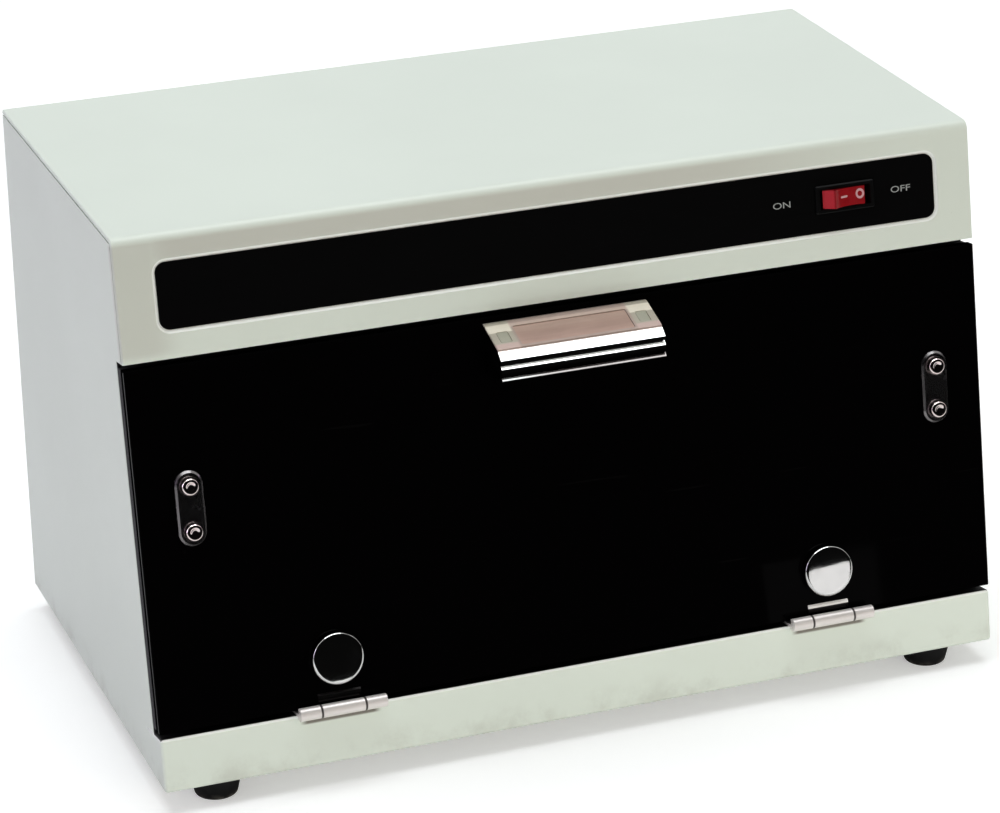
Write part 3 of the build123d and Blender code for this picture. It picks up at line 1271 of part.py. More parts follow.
for side_name, side_sign in (("left", -1), ("right", 1)):
    save("lamp_holder_" + side_name, make_lamp_holder(side_sign))
    save("hinge_base_leaf_" + side_name, make_hinge_base_leaf(side_sign * HINGE_X))
    save("hinge_pin_" + side_name, make_hinge_pin(side_sign * HINGE_X))
    save("hinge_door_leaf_" + side_name, make_hinge_door_leaf(side_sign * HINGE_X))
    save("hinge_disc_" + side_name, make_hinge_disc(side_sign * HINGE_X))
    save("catch_cover_" + side_name, make_catch_cover(side_sign))
    save("strike_plate_" + side_name, make_strike_plate(side_sign))
    save("catch_body_" + side_name, make_catch_body(side_sign))
    save("catch_magnet_" + side_name, magnet_block(side_sign, 0.0))
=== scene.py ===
import math

import bpy
import numpy as np
from bpy.props import FloatProperty, FloatVectorProperty, PointerProperty
from mathutils import Matrix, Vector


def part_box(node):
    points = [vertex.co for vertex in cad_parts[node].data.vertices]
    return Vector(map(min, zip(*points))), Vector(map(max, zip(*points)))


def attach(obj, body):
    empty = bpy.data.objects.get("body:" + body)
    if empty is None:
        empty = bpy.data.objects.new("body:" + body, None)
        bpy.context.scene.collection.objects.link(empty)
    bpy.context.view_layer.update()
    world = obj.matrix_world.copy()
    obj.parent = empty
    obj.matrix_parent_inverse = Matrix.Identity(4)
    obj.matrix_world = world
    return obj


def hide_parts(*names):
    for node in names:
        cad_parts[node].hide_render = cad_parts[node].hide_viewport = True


bl_info = {
    "name": "Tool sterilizer looks",
    "version": (1, 0, 0),
    "blender": (4, 5, 0),
    "location": "3D View > Sidebar > Sterilizer",
    "description": "Finishes, small pieces and a studio for the packed tool sterilizer",
    "category": "Object",
}

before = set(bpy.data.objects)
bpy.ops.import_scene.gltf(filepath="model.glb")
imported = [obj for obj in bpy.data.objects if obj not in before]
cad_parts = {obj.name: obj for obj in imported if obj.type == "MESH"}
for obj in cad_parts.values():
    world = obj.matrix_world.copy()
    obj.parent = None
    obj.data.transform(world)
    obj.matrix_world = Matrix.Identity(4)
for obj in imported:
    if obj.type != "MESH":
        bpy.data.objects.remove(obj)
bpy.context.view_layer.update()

# The slanted front: how far it leans back and its foot in the side view. Then how far out the name panel
# lies, and the switch's middle on it.
LEAN = math.atan2(0.2135 - 0.176, 0.2245)
FOOT_Y = -0.107704
FOOT_Z = 0.010
LABEL_OUT = -0.0007
SWITCH_ACROSS = 0.1273
SWITCH_UP = 0.203

# The words beside the switch: their places from its middle, their stretch across and their capitals' share
# of the type size.
ON_FROM_SWITCH = -0.0283
OFF_FROM_SWITCH = 0.0257
WORD_STRETCH = 1.4
CAPITAL_SHARE = 0.69

# The rocker: its pivot's place out from the front, its tip and its hollow face.
PIVOT_OUT = LABEL_OUT - 0.0045
ROCKER_TIP = math.radians(10.0)
ROCKER_HOLLOW = 0.0060
ROCKER_ROUND = 0.01631

# The rocker's bar and ring: their places along it and up it.
BAR_PLACE = (-0.0020, 0.0003)
RING_PLACE = (0.0054, 0.0007)

# The pull's sloping top: its middle, its slope in the side view and half its length.
PULL_UP = 0.1688
PULL_OUT = 0.00927
PULL_SLOPE = math.atan2(0.0076, 0.01534)
PULL_END = 0.0355

# The plates in the ends of the pull's top.
PAD_FROM_END = 0.0054
PAD_FORWARD = 0.0011
PAD_WIDTH = 0.0047
PAD_DEPTH = 0.0067
PAD_CORNER = 0.0007

# The name panel: its middle up the front, its size and its corners; the strip's folded top edge and the
# header's lower edge.
LABEL_MIDDLE = 0.2026
LABEL_WIDTH = 0.3366
LABEL_HEIGHT = 0.0272
LABEL_CORNER = 0.0043
STRIP_TOP = 0.023
HEADER_EDGE = 0.1776

# The hinges: their middles, which the discs share, and half the length of the middle knuckle.
HINGE_ACROSS = 0.109
KNUCKLE_HALF = 0.0094

# The discs: their place up the front, radius, rim's rounding, height and the dome's share of it.
DISC_UP = 0.045
DISC_RADIUS = 0.011
DISC_ROUND = 0.0013
DISC_HEIGHT = 0.0046
DISC_CROWN = 0.00015

# The oval plates: their middles, screw spacing and thickness; and the profile of the caps on their screws,
# with the outer radius, the crest's and the dish's radius, the crest's height, the round's and the dish's
# depth.
CATCH_ACROSS = 0.1635
CATCH_UP = 0.1165
CATCH_SPACING = 0.0188
CATCH_PLATE = 0.0020
CUP_RADIUS = 0.00382
CUP_CREST = 0.00245
CUP_DISH = 0.0008
CUP_TOP = 0.0031
CUP_ROUND = 0.0020
CUP_DEPTH = 0.00072

# The gap under a turned piece, and the radius of its innermost ring.
TINY = 0.00002

# Marks on the paint. Each pair says where the mark begins to show and where it is full.
# Painted highlight on the rim round the name panel and on the strip's folded top edge.
RIM_WIDTH = (0.0016, 0.0013)
FRONT_HALF = (0.0, -0.02)
LOWER_FRONT = (-0.08, -0.09)
FOLD_FOOT = (STRIP_TOP - 0.0013, STRIP_TOP - 0.0009)
FOLD_TOP = (STRIP_TOP + 0.0004, STRIP_TOP + 0.0001)
# Painted black shade on the frame behind the door.
FRAME_FACE = (-0.0005, -0.0009)
FRAME_BACK = (-0.022, -0.018)
FRAME_ENDS = (0.1848, 0.1845)
FRAME_FOOT = (STRIP_TOP - 0.0012, STRIP_TOP - 0.0008)
FRAME_TOP = (HEADER_EDGE + 0.0010, HEADER_EDGE + 0.0006)
# Painted brown shadow just under the hinges.
HINGE_SHADOW_FOOT = (0.0183, 0.0192)
HINGE_SHADOW_TOP = (0.0235, 0.0230)
HINGE_SHADOW_ENDS = (0.0178, 0.0140)
# Painted shade on the header over the name panel and at its left end.
HEADER_SHADE_FACE = (-0.0060, -0.0040)
HEADER_SHADE_FOOT = (LABEL_MIDDLE + 0.0100, LABEL_MIDDLE + 0.0165)
HEADER_SHADE_TOP = (0.2262, 0.2240)
HEADER_SHADE_RIGHT = (0.165, 0.05)
HEADER_SHADE_LEFT = (-0.182, -0.160)
HEADER_SHADE_END = (-0.158, -0.172)
HEADER_SHADE_END_FOOT = (HEADER_EDGE, HEADER_EDGE + 0.004)

# Marks on the hinges, in the same way: the web and the lip before the door, painted as a dark reflection,
# its bevel with painted shade and a painted highlight, and the slits with painted shade.
LEAF_FACE = (-0.003, -0.001)
WEB_FOOT = (0.0243, 0.0245)
WEB_FACE = (0.0028, 0.0026)
LIP_FOOT = (0.0271, 0.0273)
BEVEL_FOOT = (0.0297, 0.0300)
BEVEL_HIGHLIGHT_FOOT = (0.0289, 0.0291)
RIGHT_HALF = (-0.02, 0.02)
SLIT_HALF = (0.00060, 0.00035)

# Marks on the pull, from its top's middle: the darker lowest step, and the zones of painted reflection on the
# satin top.
LOWEST_STEP = (-0.0126, -0.0136)
DARKER_STEP_LEFT = (-0.012, -0.033)
PULL_TOP = (-0.0009, -0.0005)
STRIPE_FOOT = (0.0016, 0.0024)
RIDGE_FOOT = (0.0044, 0.0050)
RIDGE_TOP = (0.0074, 0.0066)
FRONT_BAND = (-0.0048, -0.0058)
MIDDLE_ENDS = (0.0262, 0.0248)

# The door's sawn ends and top, the rocker's end with its painted highlight, and the lamp's darkened ends.
SAWN_ENDS = (0.1845, 0.1847)
SAWN_FACE = (-0.0015, -0.0018)
SAWN_TOP = (0.1744, 0.1746)
LIT_END = (SWITCH_ACROSS - 0.0058, SWITCH_ACROSS - 0.0066)
DEPOSIT = (0.112, 0.137)


def on_front(across, up, out):
    """Points on the slanted front, from distances across it, up it and out from it.

    y is the foot plus up times sine of the lean less out times its cosine; z adds up times the cosine
    and out times the sine.
    """
    y = FOOT_Y + up * math.sin(LEAN) - out * math.cos(LEAN)
    z = FOOT_Z + up * math.cos(LEAN) + out * math.sin(LEAN)
    return np.stack(np.broadcast_arrays(across, y, z), axis=-1)


def on_pull(across, back, above):
    """Points on the pull's sloping top: back runs up the slope to the door, above stands square to it."""
    up = PULL_UP + back * math.sin(PULL_SLOPE) + above * math.cos(PULL_SLOPE)
    out = PULL_OUT - back * math.cos(PULL_SLOPE) + above * math.sin(PULL_SLOPE)
    return on_front(across, up, out)


def on_rocker(along, up, above):
    """Points over the rocker's hollow face: its height is an arc's, and all is turned by the rocker's tip."""
    height = ROCKER_HOLLOW + ROCKER_ROUND - np.sqrt(ROCKER_ROUND ** 2 - along ** 2) + above
    across = SWITCH_ACROSS + along * math.cos(ROCKER_TIP) + height * math.sin(ROCKER_TIP)
    out = PIVOT_OUT - along * math.sin(ROCKER_TIP) + height * math.cos(ROCKER_TIP)
    return on_front(across, SWITCH_UP + up, out)


def rounded_outline(width, height, corner, count=64):
    """Rounded rectangle: each quarter turn is an arc of the corner's radius about the corner's middle."""
    angle = (np.arange(count) + 0.5) * 2.0 * np.pi / count
    middle_x = (width / 2 - corner) * np.sign(np.cos(angle))
    middle_y = (height / 2 - corner) * np.sign(np.sin(angle))
    return middle_x + corner * np.cos(angle), middle_y + corner * np.sin(angle)


def plate_rows(width, height, corner, levels):
    """Rows of a plate from its foot to its top: at each level the outline is drawn in by an inset."""
    insets, heights = np.array(levels).T
    smallest = 1e-5
    flat = np.array([
        rounded_outline(width - 2 * inset, height - 2 * inset, max(corner - inset, smallest))
        for inset in insets])
    return flat[:, 0], flat[:, 1], np.broadcast_to(heights[:, None], flat[:, 0].shape)


def surface(name, points, round_columns=False, round_rows=False, caps=False, smooth=True):
    """Mesh of a grid of points (rows, columns, 3): columns or rows may join round, and end rows be capped."""
    rows, columns = points.shape[:2]
    index = np.arange(rows * columns).reshape(rows, columns)
    ends = [index[0, ::-1].tolist(), index[-1].tolist()] if caps else []
    if round_columns:
        index = np.concatenate([index, index[:, :1]], axis=1)
    if round_rows:
        index = np.concatenate([index, index[:1]], axis=0)
    quads = np.stack([index[:-1, :-1], index[:-1, 1:], index[1:, 1:], index[1:, :-1]], axis=-1)
    faces = quads.reshape(-1, 4).tolist() + ends
    mesh = bpy.data.meshes.new(name)
    mesh.from_pydata(points.reshape(-1, 3).tolist(), [], faces)
    mesh.validate()
    mesh.update()
    piece = bpy.data.objects.new(name, mesh)
    bpy.context.scene.collection.objects.link(piece)
    if smooth:
        mesh.polygons.foreach_set("use_smooth", np.ones(len(mesh.polygons), dtype=bool))
    return piece


def turned(name, across, up, radius, height):
    """Piece turned about a line square to the front.

    Each profile point is carried round in a circle: across and up are its radius times cosine and sine of
    the turn.
    """
    turn = np.linspace(0.0, 2 * np.pi, 128, endpoint=False)
    across = across + radius[:, None] * np.cos(turn)
    up = up + radius[:, None] * np.sin(turn)
    return surface(name, on_front(across, up, height[:, None]), round_columns=True, caps=True)


def tube_along(name, path, radius, sides):
    """Tube along a path.

    A point is the path's point plus the radius times cosine and sine of an even turn, on two directions
    square to the path, the first of them square to a fixed helper direction too.
    """
    tangent = np.gradient(path, axis=0)
    tangent /= np.linalg.norm(tangent, axis=1, keepdims=True)
    helper = np.array([0.13, 0.21, 0.97])
    first = np.cross(tangent, helper)
    first /= np.linalg.norm(first, axis=1, keepdims=True)
    second = np.cross(tangent, first)
    angle = np.linspace(0.0, 2 * np.pi, sides, endpoint=False)
    ring = first[:, None] * np.cos(angle)[None, :, None] + second[:, None] * np.sin(angle)[None, :, None]
    return surface(name, path[:, None] + radius * ring, round_columns=True, caps=True)


def dress(piece, body, finish):
    """Puts a new piece on its body and gives it its finish."""
    piece.data.materials.clear()
    piece.data.materials.append(finish)
    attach(piece, body)


def coat_nodes(finish, *names):
    """Gives CAD nodes a finish."""
    for name in names:
        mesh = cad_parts[name].data
        mesh.materials.clear()
        mesh.materials.append(finish)


class Channel:
    """An output of a shader node that works in Python sums."""

    def __init__(self, recipe, socket):
        self.recipe = recipe
        self.socket = socket

    def maths(self, operation, *values):
        return self.recipe.add("ShaderNodeMath", {"operation": operation}, dict(enumerate(values)))

    def __add__(self, other):
        return self.maths("ADD", self, other)

    def __sub__(self, other):
        return self.maths("SUBTRACT", self, other)

    def __rsub__(self, other):
        return self.maths("SUBTRACT", other, self)

    def __mul__(self, other):
        return self.maths("MULTIPLY", self, other)

    def __truediv__(self, other):
        return self.maths("DIVIDE", self, other)

    def __pow__(self, other):
        return self.maths("POWER", self, other)

    def __abs__(self):
        return self.maths("ABSOLUTE", self)

    __radd__ = __add__

    def between(self, low, high):
        """Zero below low, one above high, with a smooth rise between; high may be the smaller."""
        settings = {"interpolation_type": "SMOOTHSTEP"}
        return self.recipe.add("ShaderNodeMapRange", settings, {0: self, 1: low, 2: high, 3: 0.0, 4: 1.0})


class Recipe:
    """The nodes of one finish. Every node but the output is made by add()."""

    def __init__(self, name):
        self.material = bpy.data.materials.new(name)
        self.material.use_nodes = True
        self.tree = self.material.node_tree
        self.tree.nodes.clear()
        self.place = self.add("ShaderNodeTexCoord", output="Object")

    def add(self, kind, settings=None, values=None, output=0):
        """Makes a node: its settings first, then the value or link of each of its sockets."""
        node = self.tree.nodes.new(kind)
        for key, value in (settings or {}).items():
            if key == "stops":
                ramp = node.color_ramp.elements
                while len(ramp) > 1:
                    ramp.remove(ramp[-1])
                ramp[0].position, ramp[0].color = value[0]
                for place, colour in value[1:]:
                    ramp.new(place).color = colour
            else:
                setattr(node, key, value)
        for key, value in (values or {}).items():
            if isinstance(value, Channel):
                self.tree.links.new(value.socket, node.inputs[key])
            else:
                node.inputs[key].default_value = value
        return Channel(self, node.outputs[output])

    def stretched(self, x, y, z):
        """The object's coordinates, multiplied along each axis."""
        return self.add("ShaderNodeVectorMath", {"operation": "MULTIPLY"}, {0: self.place, 1: (x, y, z)})

    def noise(self, scale, detail=3.0, rough=0.5, along=None):
        """Cloudy noise from 0 to 1, with this many clouds in a metre."""
        values = {"Vector": along or self.place, "Scale": scale, "Detail": detail, "Roughness": rough}
        return self.add("ShaderNodeTexNoise", None, values)

    def cells(self, scale, feature="F1"):
        """Distance to the nearest cell's middle or edge."""
        return self.add("ShaderNodeTexVoronoi", {"feature": feature}, {"Vector": self.place, "Scale": scale})

    def axis(self, letter):
        """One of the object's coordinates."""
        return self.add("ShaderNodeSeparateXYZ", None, {0: self.place}, letter)

    def up_front(self):
        """How far up the slanted front a place is."""
        return (self.axis("Z") - FOOT_Z) * math.cos(LEAN) + (self.axis("Y") - FOOT_Y) * math.sin(LEAN)

    def out_front(self):
        """How far out from the slanted front a place is."""
        return (self.axis("Z") - FOOT_Z) * math.sin(LEAN) - (self.axis("Y") - FOOT_Y) * math.cos(LEAN)

    def outside(self, across, up, width, height, corner):
        """Distance outside a rounded rectangle about the middle."""
        x = abs(across) - (width / 2 - corner)
        y = abs(up) - (height / 2 - corner)
        x = x.maths("MAXIMUM", x, 0.0)
        y = y.maths("MAXIMUM", y, 0.0)
        return (x * x + y * y) ** 0.5 - corner

    def blend(self, factor, first, second):
        """Colour between two colours."""
        settings = {"data_type": "RGBA", "blend_type": "MIX"}
        return self.add("ShaderNodeMix", settings, {0: factor, 6: first, 7: second}, 2)

    def finish(self, colour, rough, metal=0.0, relief=None, depth=0.0002, strength=0.2, matt=None, **fixed):
        """Principled surface with a bump for its relief, and dull black where it is matt."""
        values = {"Base Color": colour, "Roughness": rough, "Metallic": metal, **fixed}
        if relief is not None:
            values["Normal"] = self.add("ShaderNodeBump", None, {
                "Strength": strength, "Distance": depth, "Height": relief})
        shader = self.add("ShaderNodeBsdfPrincipled", None, values)
        if matt is not None:
            dull = self.add("ShaderNodeBsdfDiffuse", None, {"Color": (0.0011, 0.0011, 0.0012, 1.0)})
            shader = self.add("ShaderNodeMixShader", None, {0: matt, 1: shader, 2: dull})
        self.add_output(shader)
        return self.material

    def add_output(self, shader):
        """Joins the shader to the material's output."""
        node = self.tree.nodes.new("ShaderNodeOutputMaterial")
        self.tree.links.new(shader.socket, node.inputs["Surface"])


def rgba(colour, factor=1.0):
    """Colour with full cover, made lighter or darker by a factor."""
    return (colour[0] * factor, colour[1] * factor, colour[2] * factor, 1.0)


def baked_paint(name, colour):
    """Baked enamel: faint orange peel, slow changes of tone, a few specks and grime low down.

    It has a painted highlight, paler and glossier, on the dished rim round the name panel and on the folded
    edge below the door; painted shade on the header over the panel and at its left end, a painted brown
    shadow just under the hinges, and painted black shade on the frame behind the door.
    """
    r = Recipe(name)
    across = r.axis("X")
    up = r.up_front()
    out = r.out_front()
    lower_front = r.axis("Y").between(*LOWER_FRONT)
    panel = r.outside(across, up - LABEL_MIDDLE, LABEL_WIDTH, LABEL_HEIGHT, LABEL_CORNER)
    # Painted highlight: pale colour on the rim round the name panel and on the folded edge below the door.
    rim = panel.between(*RIM_WIDTH) * r.axis("Y").between(*FRONT_HALF)
    edge = rim + up.between(*FOLD_FOOT) * up.between(*FOLD_TOP) * lower_front
    # Painted shade: the frame behind the door is painted black where it lies in shadow.
    frame_shade = out.between(*FRAME_FACE) * out.between(*FRAME_BACK) * abs(across).between(*FRAME_ENDS)
    frame_shade = frame_shade * up.between(*FRAME_FOOT) * up.between(*FRAME_TOP)
    # Painted shadow: a brown line on the strip just under the hinges.
    hinge_shadow = abs(abs(across) - HINGE_ACROSS).between(*HINGE_SHADOW_ENDS) * lower_front
    hinge_shadow = hinge_shadow * up.between(*HINGE_SHADOW_FOOT) * up.between(*HINGE_SHADOW_TOP)
    # Painted shade: the header is darkened and warmed over the panel and at its left end.
    shade_over_panel = up.between(*HEADER_SHADE_FOOT) * across.between(*HEADER_SHADE_RIGHT) * across.between(*HEADER_SHADE_LEFT)
    shade_left_end = across.between(*HEADER_SHADE_END) * up.between(*HEADER_SHADE_END_FOOT) * 0.7
    header_shade = shade_over_panel.maths("MAXIMUM", shade_over_panel, shade_left_end) * up.between(*HEADER_SHADE_TOP) * out.between(*HEADER_SHADE_FACE)
    tone = r.noise(7.0, 4.0)
    peel = r.noise(650.0, 2.0, 0.45) + r.noise(160.0, 2.0) * 0.6
    specks = r.noise(1500.0, 1.0).between(0.80, 0.84) * r.noise(60.0).between(0.5, 0.7)
    grime = r.axis("Z").between(0.026, 0.009) * r.noise(55.0, 5.0, 0.65).between(0.42, 0.75) * 0.35
    base = r.blend(tone.between(0.3, 0.7), rgba(colour, 0.975), rgba(colour, 1.02))
    base = r.blend(specks * 0.35, base, (0.30, 0.28, 0.24, 1.0))
    base = r.blend(grime, base, (0.33, 0.31, 0.26, 1.0))
    base = r.blend(header_shade * 0.8, base, (0.56, 0.555, 0.50, 1.0))
    base = r.blend(edge, base, (0.96, 0.98, 0.94, 1.0))
    base = r.blend(hinge_shadow * 0.85, base, (0.10, 0.070, 0.050, 1.0))
    base = r.blend(frame_shade, base, (0.004, 0.004, 0.004, 1.0))
    rough = 0.30 + r.noise(30.0, 3.0) * 0.14 + grime * 0.3 - edge * 0.2 + frame_shade * 0.5
    return r.finish(base, rough, relief=peel, depth=0.00012, strength=0.10, **{"IOR": 1.5})


def plated(name, colour, rough, smudge=0.10):
    """Polished plating: breath-like smudges, fine polishing lines and a few pits."""
    r = Recipe(name)
    cloud = r.noise(90.0, 4.0, 0.6).between(0.45, 0.8)
    lines = r.noise(900.0, 2.0, 0.5, r.stretched(0.12, 1.0, 1.0))
    pits = r.cells(700.0).between(0.10, 0.04) * r.noise(120.0).between(0.55, 0.75)
    base = r.blend(cloud * 0.5, rgba(colour), rgba(colour, 0.86))
    base = r.blend(pits * 0.5, base, rgba(colour, 0.35))
    return r.finish(base, rough + cloud * smudge + pits * 0.2, 1.0, lines - pits, 0.00003, 0.08)


def satin_metal(name, colour, rough, along=(0.05, 1.0, 1.0), density=1400.0, metal=1.0):
    """Brushed metal: long fine grain, slow changes of gloss, a few deeper scratches; less metal is duller."""
    r = Recipe(name)
    stretched = r.stretched(*along)
    grain = r.noise(density, 3.0, 0.6, stretched)
    scratch = r.noise(density * 0.4, 1.0, 0.3, stretched).between(0.72, 0.78)
    tone = r.noise(22.0, 3.0)
    base = r.blend(grain * 0.6 + tone * 0.4, rgba(colour, 0.80), rgba(colour, 1.10))
    return r.finish(base, rough + grain * 0.16 - scratch * 0.08, metal, grain + scratch * 0.7, 0.00004, 0.22)


def hinge_metal(name, colour):
    """Satin hinge steel: tumbled knuckles with painted shade between them, and a lip in front of the door
    painted dark as a reflection.

    The lip's bevel has painted shade on the left hinge and a painted highlight on the right one.
    """
    r = Recipe(name)
    stretched = r.stretched(0.08, 1.0, 1.0)
    grain = r.noise(1500.0, 3.0, 0.6, stretched)
    tone = r.noise(60.0, 3.0)
    up = r.up_front()
    out = r.out_front()
    front = out.between(*LEAF_FACE)
    # Painted dark reflection: the web and the lip before the door are near black.
    web = up.between(*WEB_FOOT) * out.between(*WEB_FACE)
    lip = web.maths("MAXIMUM", web, up.between(*LIP_FOOT)) * front
    satin = r.blend(grain * 0.5 + tone * 0.5, rgba(colour, 0.86), rgba(colour, 1.06))
    # Painted shade on the lip's bevel, and a painted highlight on it on the right hinge.
    bevel = up.between(*BEVEL_FOOT) * front
    pale = up.between(*BEVEL_HIGHLIGHT_FOOT) * front * r.axis("X").between(*RIGHT_HALF)
    # Painted shade beside the slits between the knuckles.
    from_middle = abs(abs(r.axis("X")) - HINGE_ACROSS)
    slit = abs(from_middle - KNUCKLE_HALF).between(*SLIT_HALF) * (1.0 - lip) * front
    base = r.blend(lip, satin, (0.014, 0.013, 0.013, 1.0))
    base = r.blend(bevel, base, (0.045, 0.041, 0.041, 1.0))
    base = r.blend(pale, base, (0.98, 0.95, 0.94, 1.0))
    base = r.blend(slit * 0.85, base, (0.035, 0.028, 0.024, 1.0))
    rough = 0.30 + grain * 0.14 - lip * 0.20 + bevel.maths("MAXIMUM", bevel, pale) * 0.28
    metal = 0.42 + lip * 0.58 - pale * 0.85
    return r.finish(base, rough, metal, grain * (1.0 - lip), 0.00004, 0.18)


def pull_metal(name, colour):
    """Plated pull: mirror-bright steps, the lowest darker and more so to the left, and a satin top with
    painted reflections in tinted zones.
    """
    r = Recipe(name)
    cloud = r.noise(90.0, 4.0, 0.6).between(0.45, 0.8)
    up = r.up_front() - PULL_UP
    out = r.out_front() - PULL_OUT
    above = up * math.cos(PULL_SLOPE) + out * math.sin(PULL_SLOPE)
    back = up * math.sin(PULL_SLOPE) - out * math.cos(PULL_SLOPE)
    satin = above.between(*PULL_TOP)
    grain = r.noise(1500.0, 3.0, 0.6, r.stretched(0.06, 1.0, 1.0))
    base = r.blend(cloud * 0.5, rgba(colour), rgba(colour, 0.88))
    # The lowest step is darker, more so to the left.
    to_left = r.axis("X").between(*DARKER_STEP_LEFT)
    darker_step = r.blend(to_left, (0.20, 0.182, 0.178, 1.0), (0.34, 0.335, 0.33, 1.0))
    base = r.blend(up.between(*LOWEST_STEP), base, darker_step)
    # Painted reflections: tinted zones on the satin top stand for what the plating reflects.
    stripe_reflection = back.between(*STRIPE_FOOT) * back.between(*RIDGE_TOP)
    front = back.between(*FRONT_BAND)
    ends = r.blend(stripe_reflection, (0.46, 0.42, 0.34, 1.0), (0.95, 0.88, 0.74, 1.0))
    ends = r.blend(front, ends, (0.60, 0.44, 0.40, 1.0))
    ridge_reflection = back.between(*RIDGE_FOOT) * back.between(*RIDGE_TOP)
    middle = r.blend(ridge_reflection, (0.44, 0.32, 0.28, 1.0), (0.66, 0.50, 0.43, 1.0))
    painted_reflection = r.blend(abs(r.axis("X")).between(*MIDDLE_ENDS), ends, middle)
    base = r.blend(satin, base, r.blend(grain * 0.3, painted_reflection, (0.50, 0.44, 0.38, 1.0)))
    rough = 0.07 + cloud * 0.06 + satin * 0.30
    return r.finish(base, rough, 1.0 - satin * 0.7, grain * satin, 0.00003, 0.12)


def tinted_strip(name, colour):
    """Rose-tinted bright strip under clear lacquer, brushed along its length."""
    r = Recipe(name)
    grain = r.noise(1600.0, 3.0, 0.6, r.stretched(0.04, 1.0, 1.0))
    tone = r.noise(50.0, 3.0, 0.5, r.stretched(1.0, 3.0, 1.0))
    base = r.blend(grain * 0.4 + tone * 0.6, rgba(colour, 0.84), rgba(colour, 1.14))
    return r.finish(base, 0.26 + grain * 0.12, 0.85, grain, 0.00003, 0.15, **{"Coat Weight": 0.7})


def spangled_zinc(name, colour=(0.62, 0.63, 0.65)):
    """Zinc plating: small crystals, dull patches and a fine tooth."""
    r = Recipe(name)
    crystal = r.cells(520.0)
    dull = r.noise(140.0, 4.0, 0.6)
    base = r.blend(crystal, rgba(colour, 1.1), rgba(colour, 0.7))
    return r.finish(base, 0.26 + dull * 0.22, 1.0, crystal + r.noise(3000.0), 0.00003, 0.25)


def dark_acrylic(name, colour):
    """Cast acrylic sheet: deep gloss, wiping marks, hairlines, specks of dust and matt sawn edges."""
    r = Recipe(name)
    wipe = r.noise(14.0, 5.0, 0.6, r.stretched(1.0, 0.6, 2.2))
    hair = r.noise(500.0, 1.0, 0.2, r.stretched(0.05, 1.0, 1.0)).between(0.79, 0.82)
    dust = r.cells(160.0).between(0.035, 0.015) * r.noise(40.0).between(0.52, 0.7)
    base = r.blend(dust * 0.06 + hair * 0.003, rgba(colour), (0.35, 0.34, 0.33, 1.0))
    rough = 0.05 + wipe.between(0.4, 0.8) * 0.06 + dust * 0.4 + hair * 0.06
    relief = r.noise(5.0, 1.0) * 4.0 + hair * 0.2
    ends = abs(r.axis("X")).between(*SAWN_ENDS) * r.out_front().between(*SAWN_FACE)
    sawn = ends.maths("MAXIMUM", ends, r.up_front().between(*SAWN_TOP))
    return r.finish(base, rough, relief=relief, depth=0.0001, strength=0.03, matt=sawn, **{
        "IOR": 1.49, "Specular IOR Level": 0.02})


def moulded(name, colour, rough=0.42, tooth=1900.0, specular=0.4):
    """Moulded plastic: sparked tooth, slow flow marks and handling shine."""
    r = Recipe(name)
    flow = r.noise(70.0, 3.0, 0.55, r.stretched(1.0, 2.0, 1.0))
    grain = r.noise(tooth, 2.0, 0.6)
    base = r.blend(flow, rgba(colour, 0.88), rgba(colour, 1.12))
    return r.finish(base, rough + flow * 0.14 - grain * 0.05, relief=grain, depth=0.00005, strength=0.25,
                    **{"Specular IOR Level": specular})


def soft_rubber(name, colour):
    """Moulded rubber: pebbled skin with pale bloom and dust low down."""
    r = Recipe(name)
    pebbles = r.cells(900.0, "SMOOTH_F1")
    bloom = r.noise(120.0, 4.0, 0.65).between(0.5, 0.8)
    dust = r.axis("Z").between(0.0035, 0.0) * r.noise(300.0, 3.0).between(0.35, 0.7)
    base = r.blend(bloom * 0.25, rgba(colour), rgba(colour, 2.6))
    base = r.blend(dust * 0.4, base, (0.22, 0.20, 0.18, 1.0))
    return r.finish(base, 0.62 + bloom * 0.2, relief=pebbles, depth=0.0001, strength=0.35, **{
        "Specular IOR Level": 0.15})


def cell_foam(name, colour):
    """Closed-cell foam: two sizes of cell, with pale cut walls."""
    r = Recipe(name)
    small = r.cells(1700.0, "DISTANCE_TO_EDGE")
    large = r.cells(700.0, "DISTANCE_TO_EDGE")
    walls = small.between(0.16, 0.02) * 0.6 + large.between(0.10, 0.02) * 0.4
    base = r.blend(walls * 0.35, rgba(colour), (0.11, 0.11, 0.115, 1.0))
    return r.finish(base, 0.9, relief=small + large * 1.4, depth=0.00025, strength=0.5)


def printed_panel(name, colour):
    """Lacquered name panel: faint brushing under the black, with wiping marks."""
    r = Recipe(name)
    brush = r.noise(1500.0, 2.0, 0.5, r.stretched(0.03, 1.0, 1.0))
    wipe = r.noise(28.0, 4.0, 0.6)
    base = r.blend(brush * 0.5, rgba(colour, 0.8), rgba(colour, 1.9))
    return r.finish(base, 0.24 + wipe * 0.14, relief=brush, depth=0.00002, strength=0.10,
                    **{"Specular IOR Level": 0.05})


def lens_red(name, colour):
    """Red see-through lens: a painted highlight where the lobe stands up to the left, deep elsewhere."""
    r = Recipe(name)
    across = r.axis("X")
    # Painted highlight on the rocker's end that stands up to the left.
    lit = across.between(*LIT_END)
    flow = r.noise(260.0, 2.0)
    deep = r.blend(flow, rgba(colour, 0.75), rgba(colour, 1.15))
    base = r.blend(lit * 0.9, deep, (0.50, 0.030, 0.045, 1.0))
    ribs = r.noise(2400.0, 1.0, 0.4, r.stretched(1.0, 0.2, 0.2))
    return r.finish(base, 0.16 + flow * 0.08, relief=ribs, depth=0.00003, strength=0.10, **{
        "Specular IOR Level": 0.22})


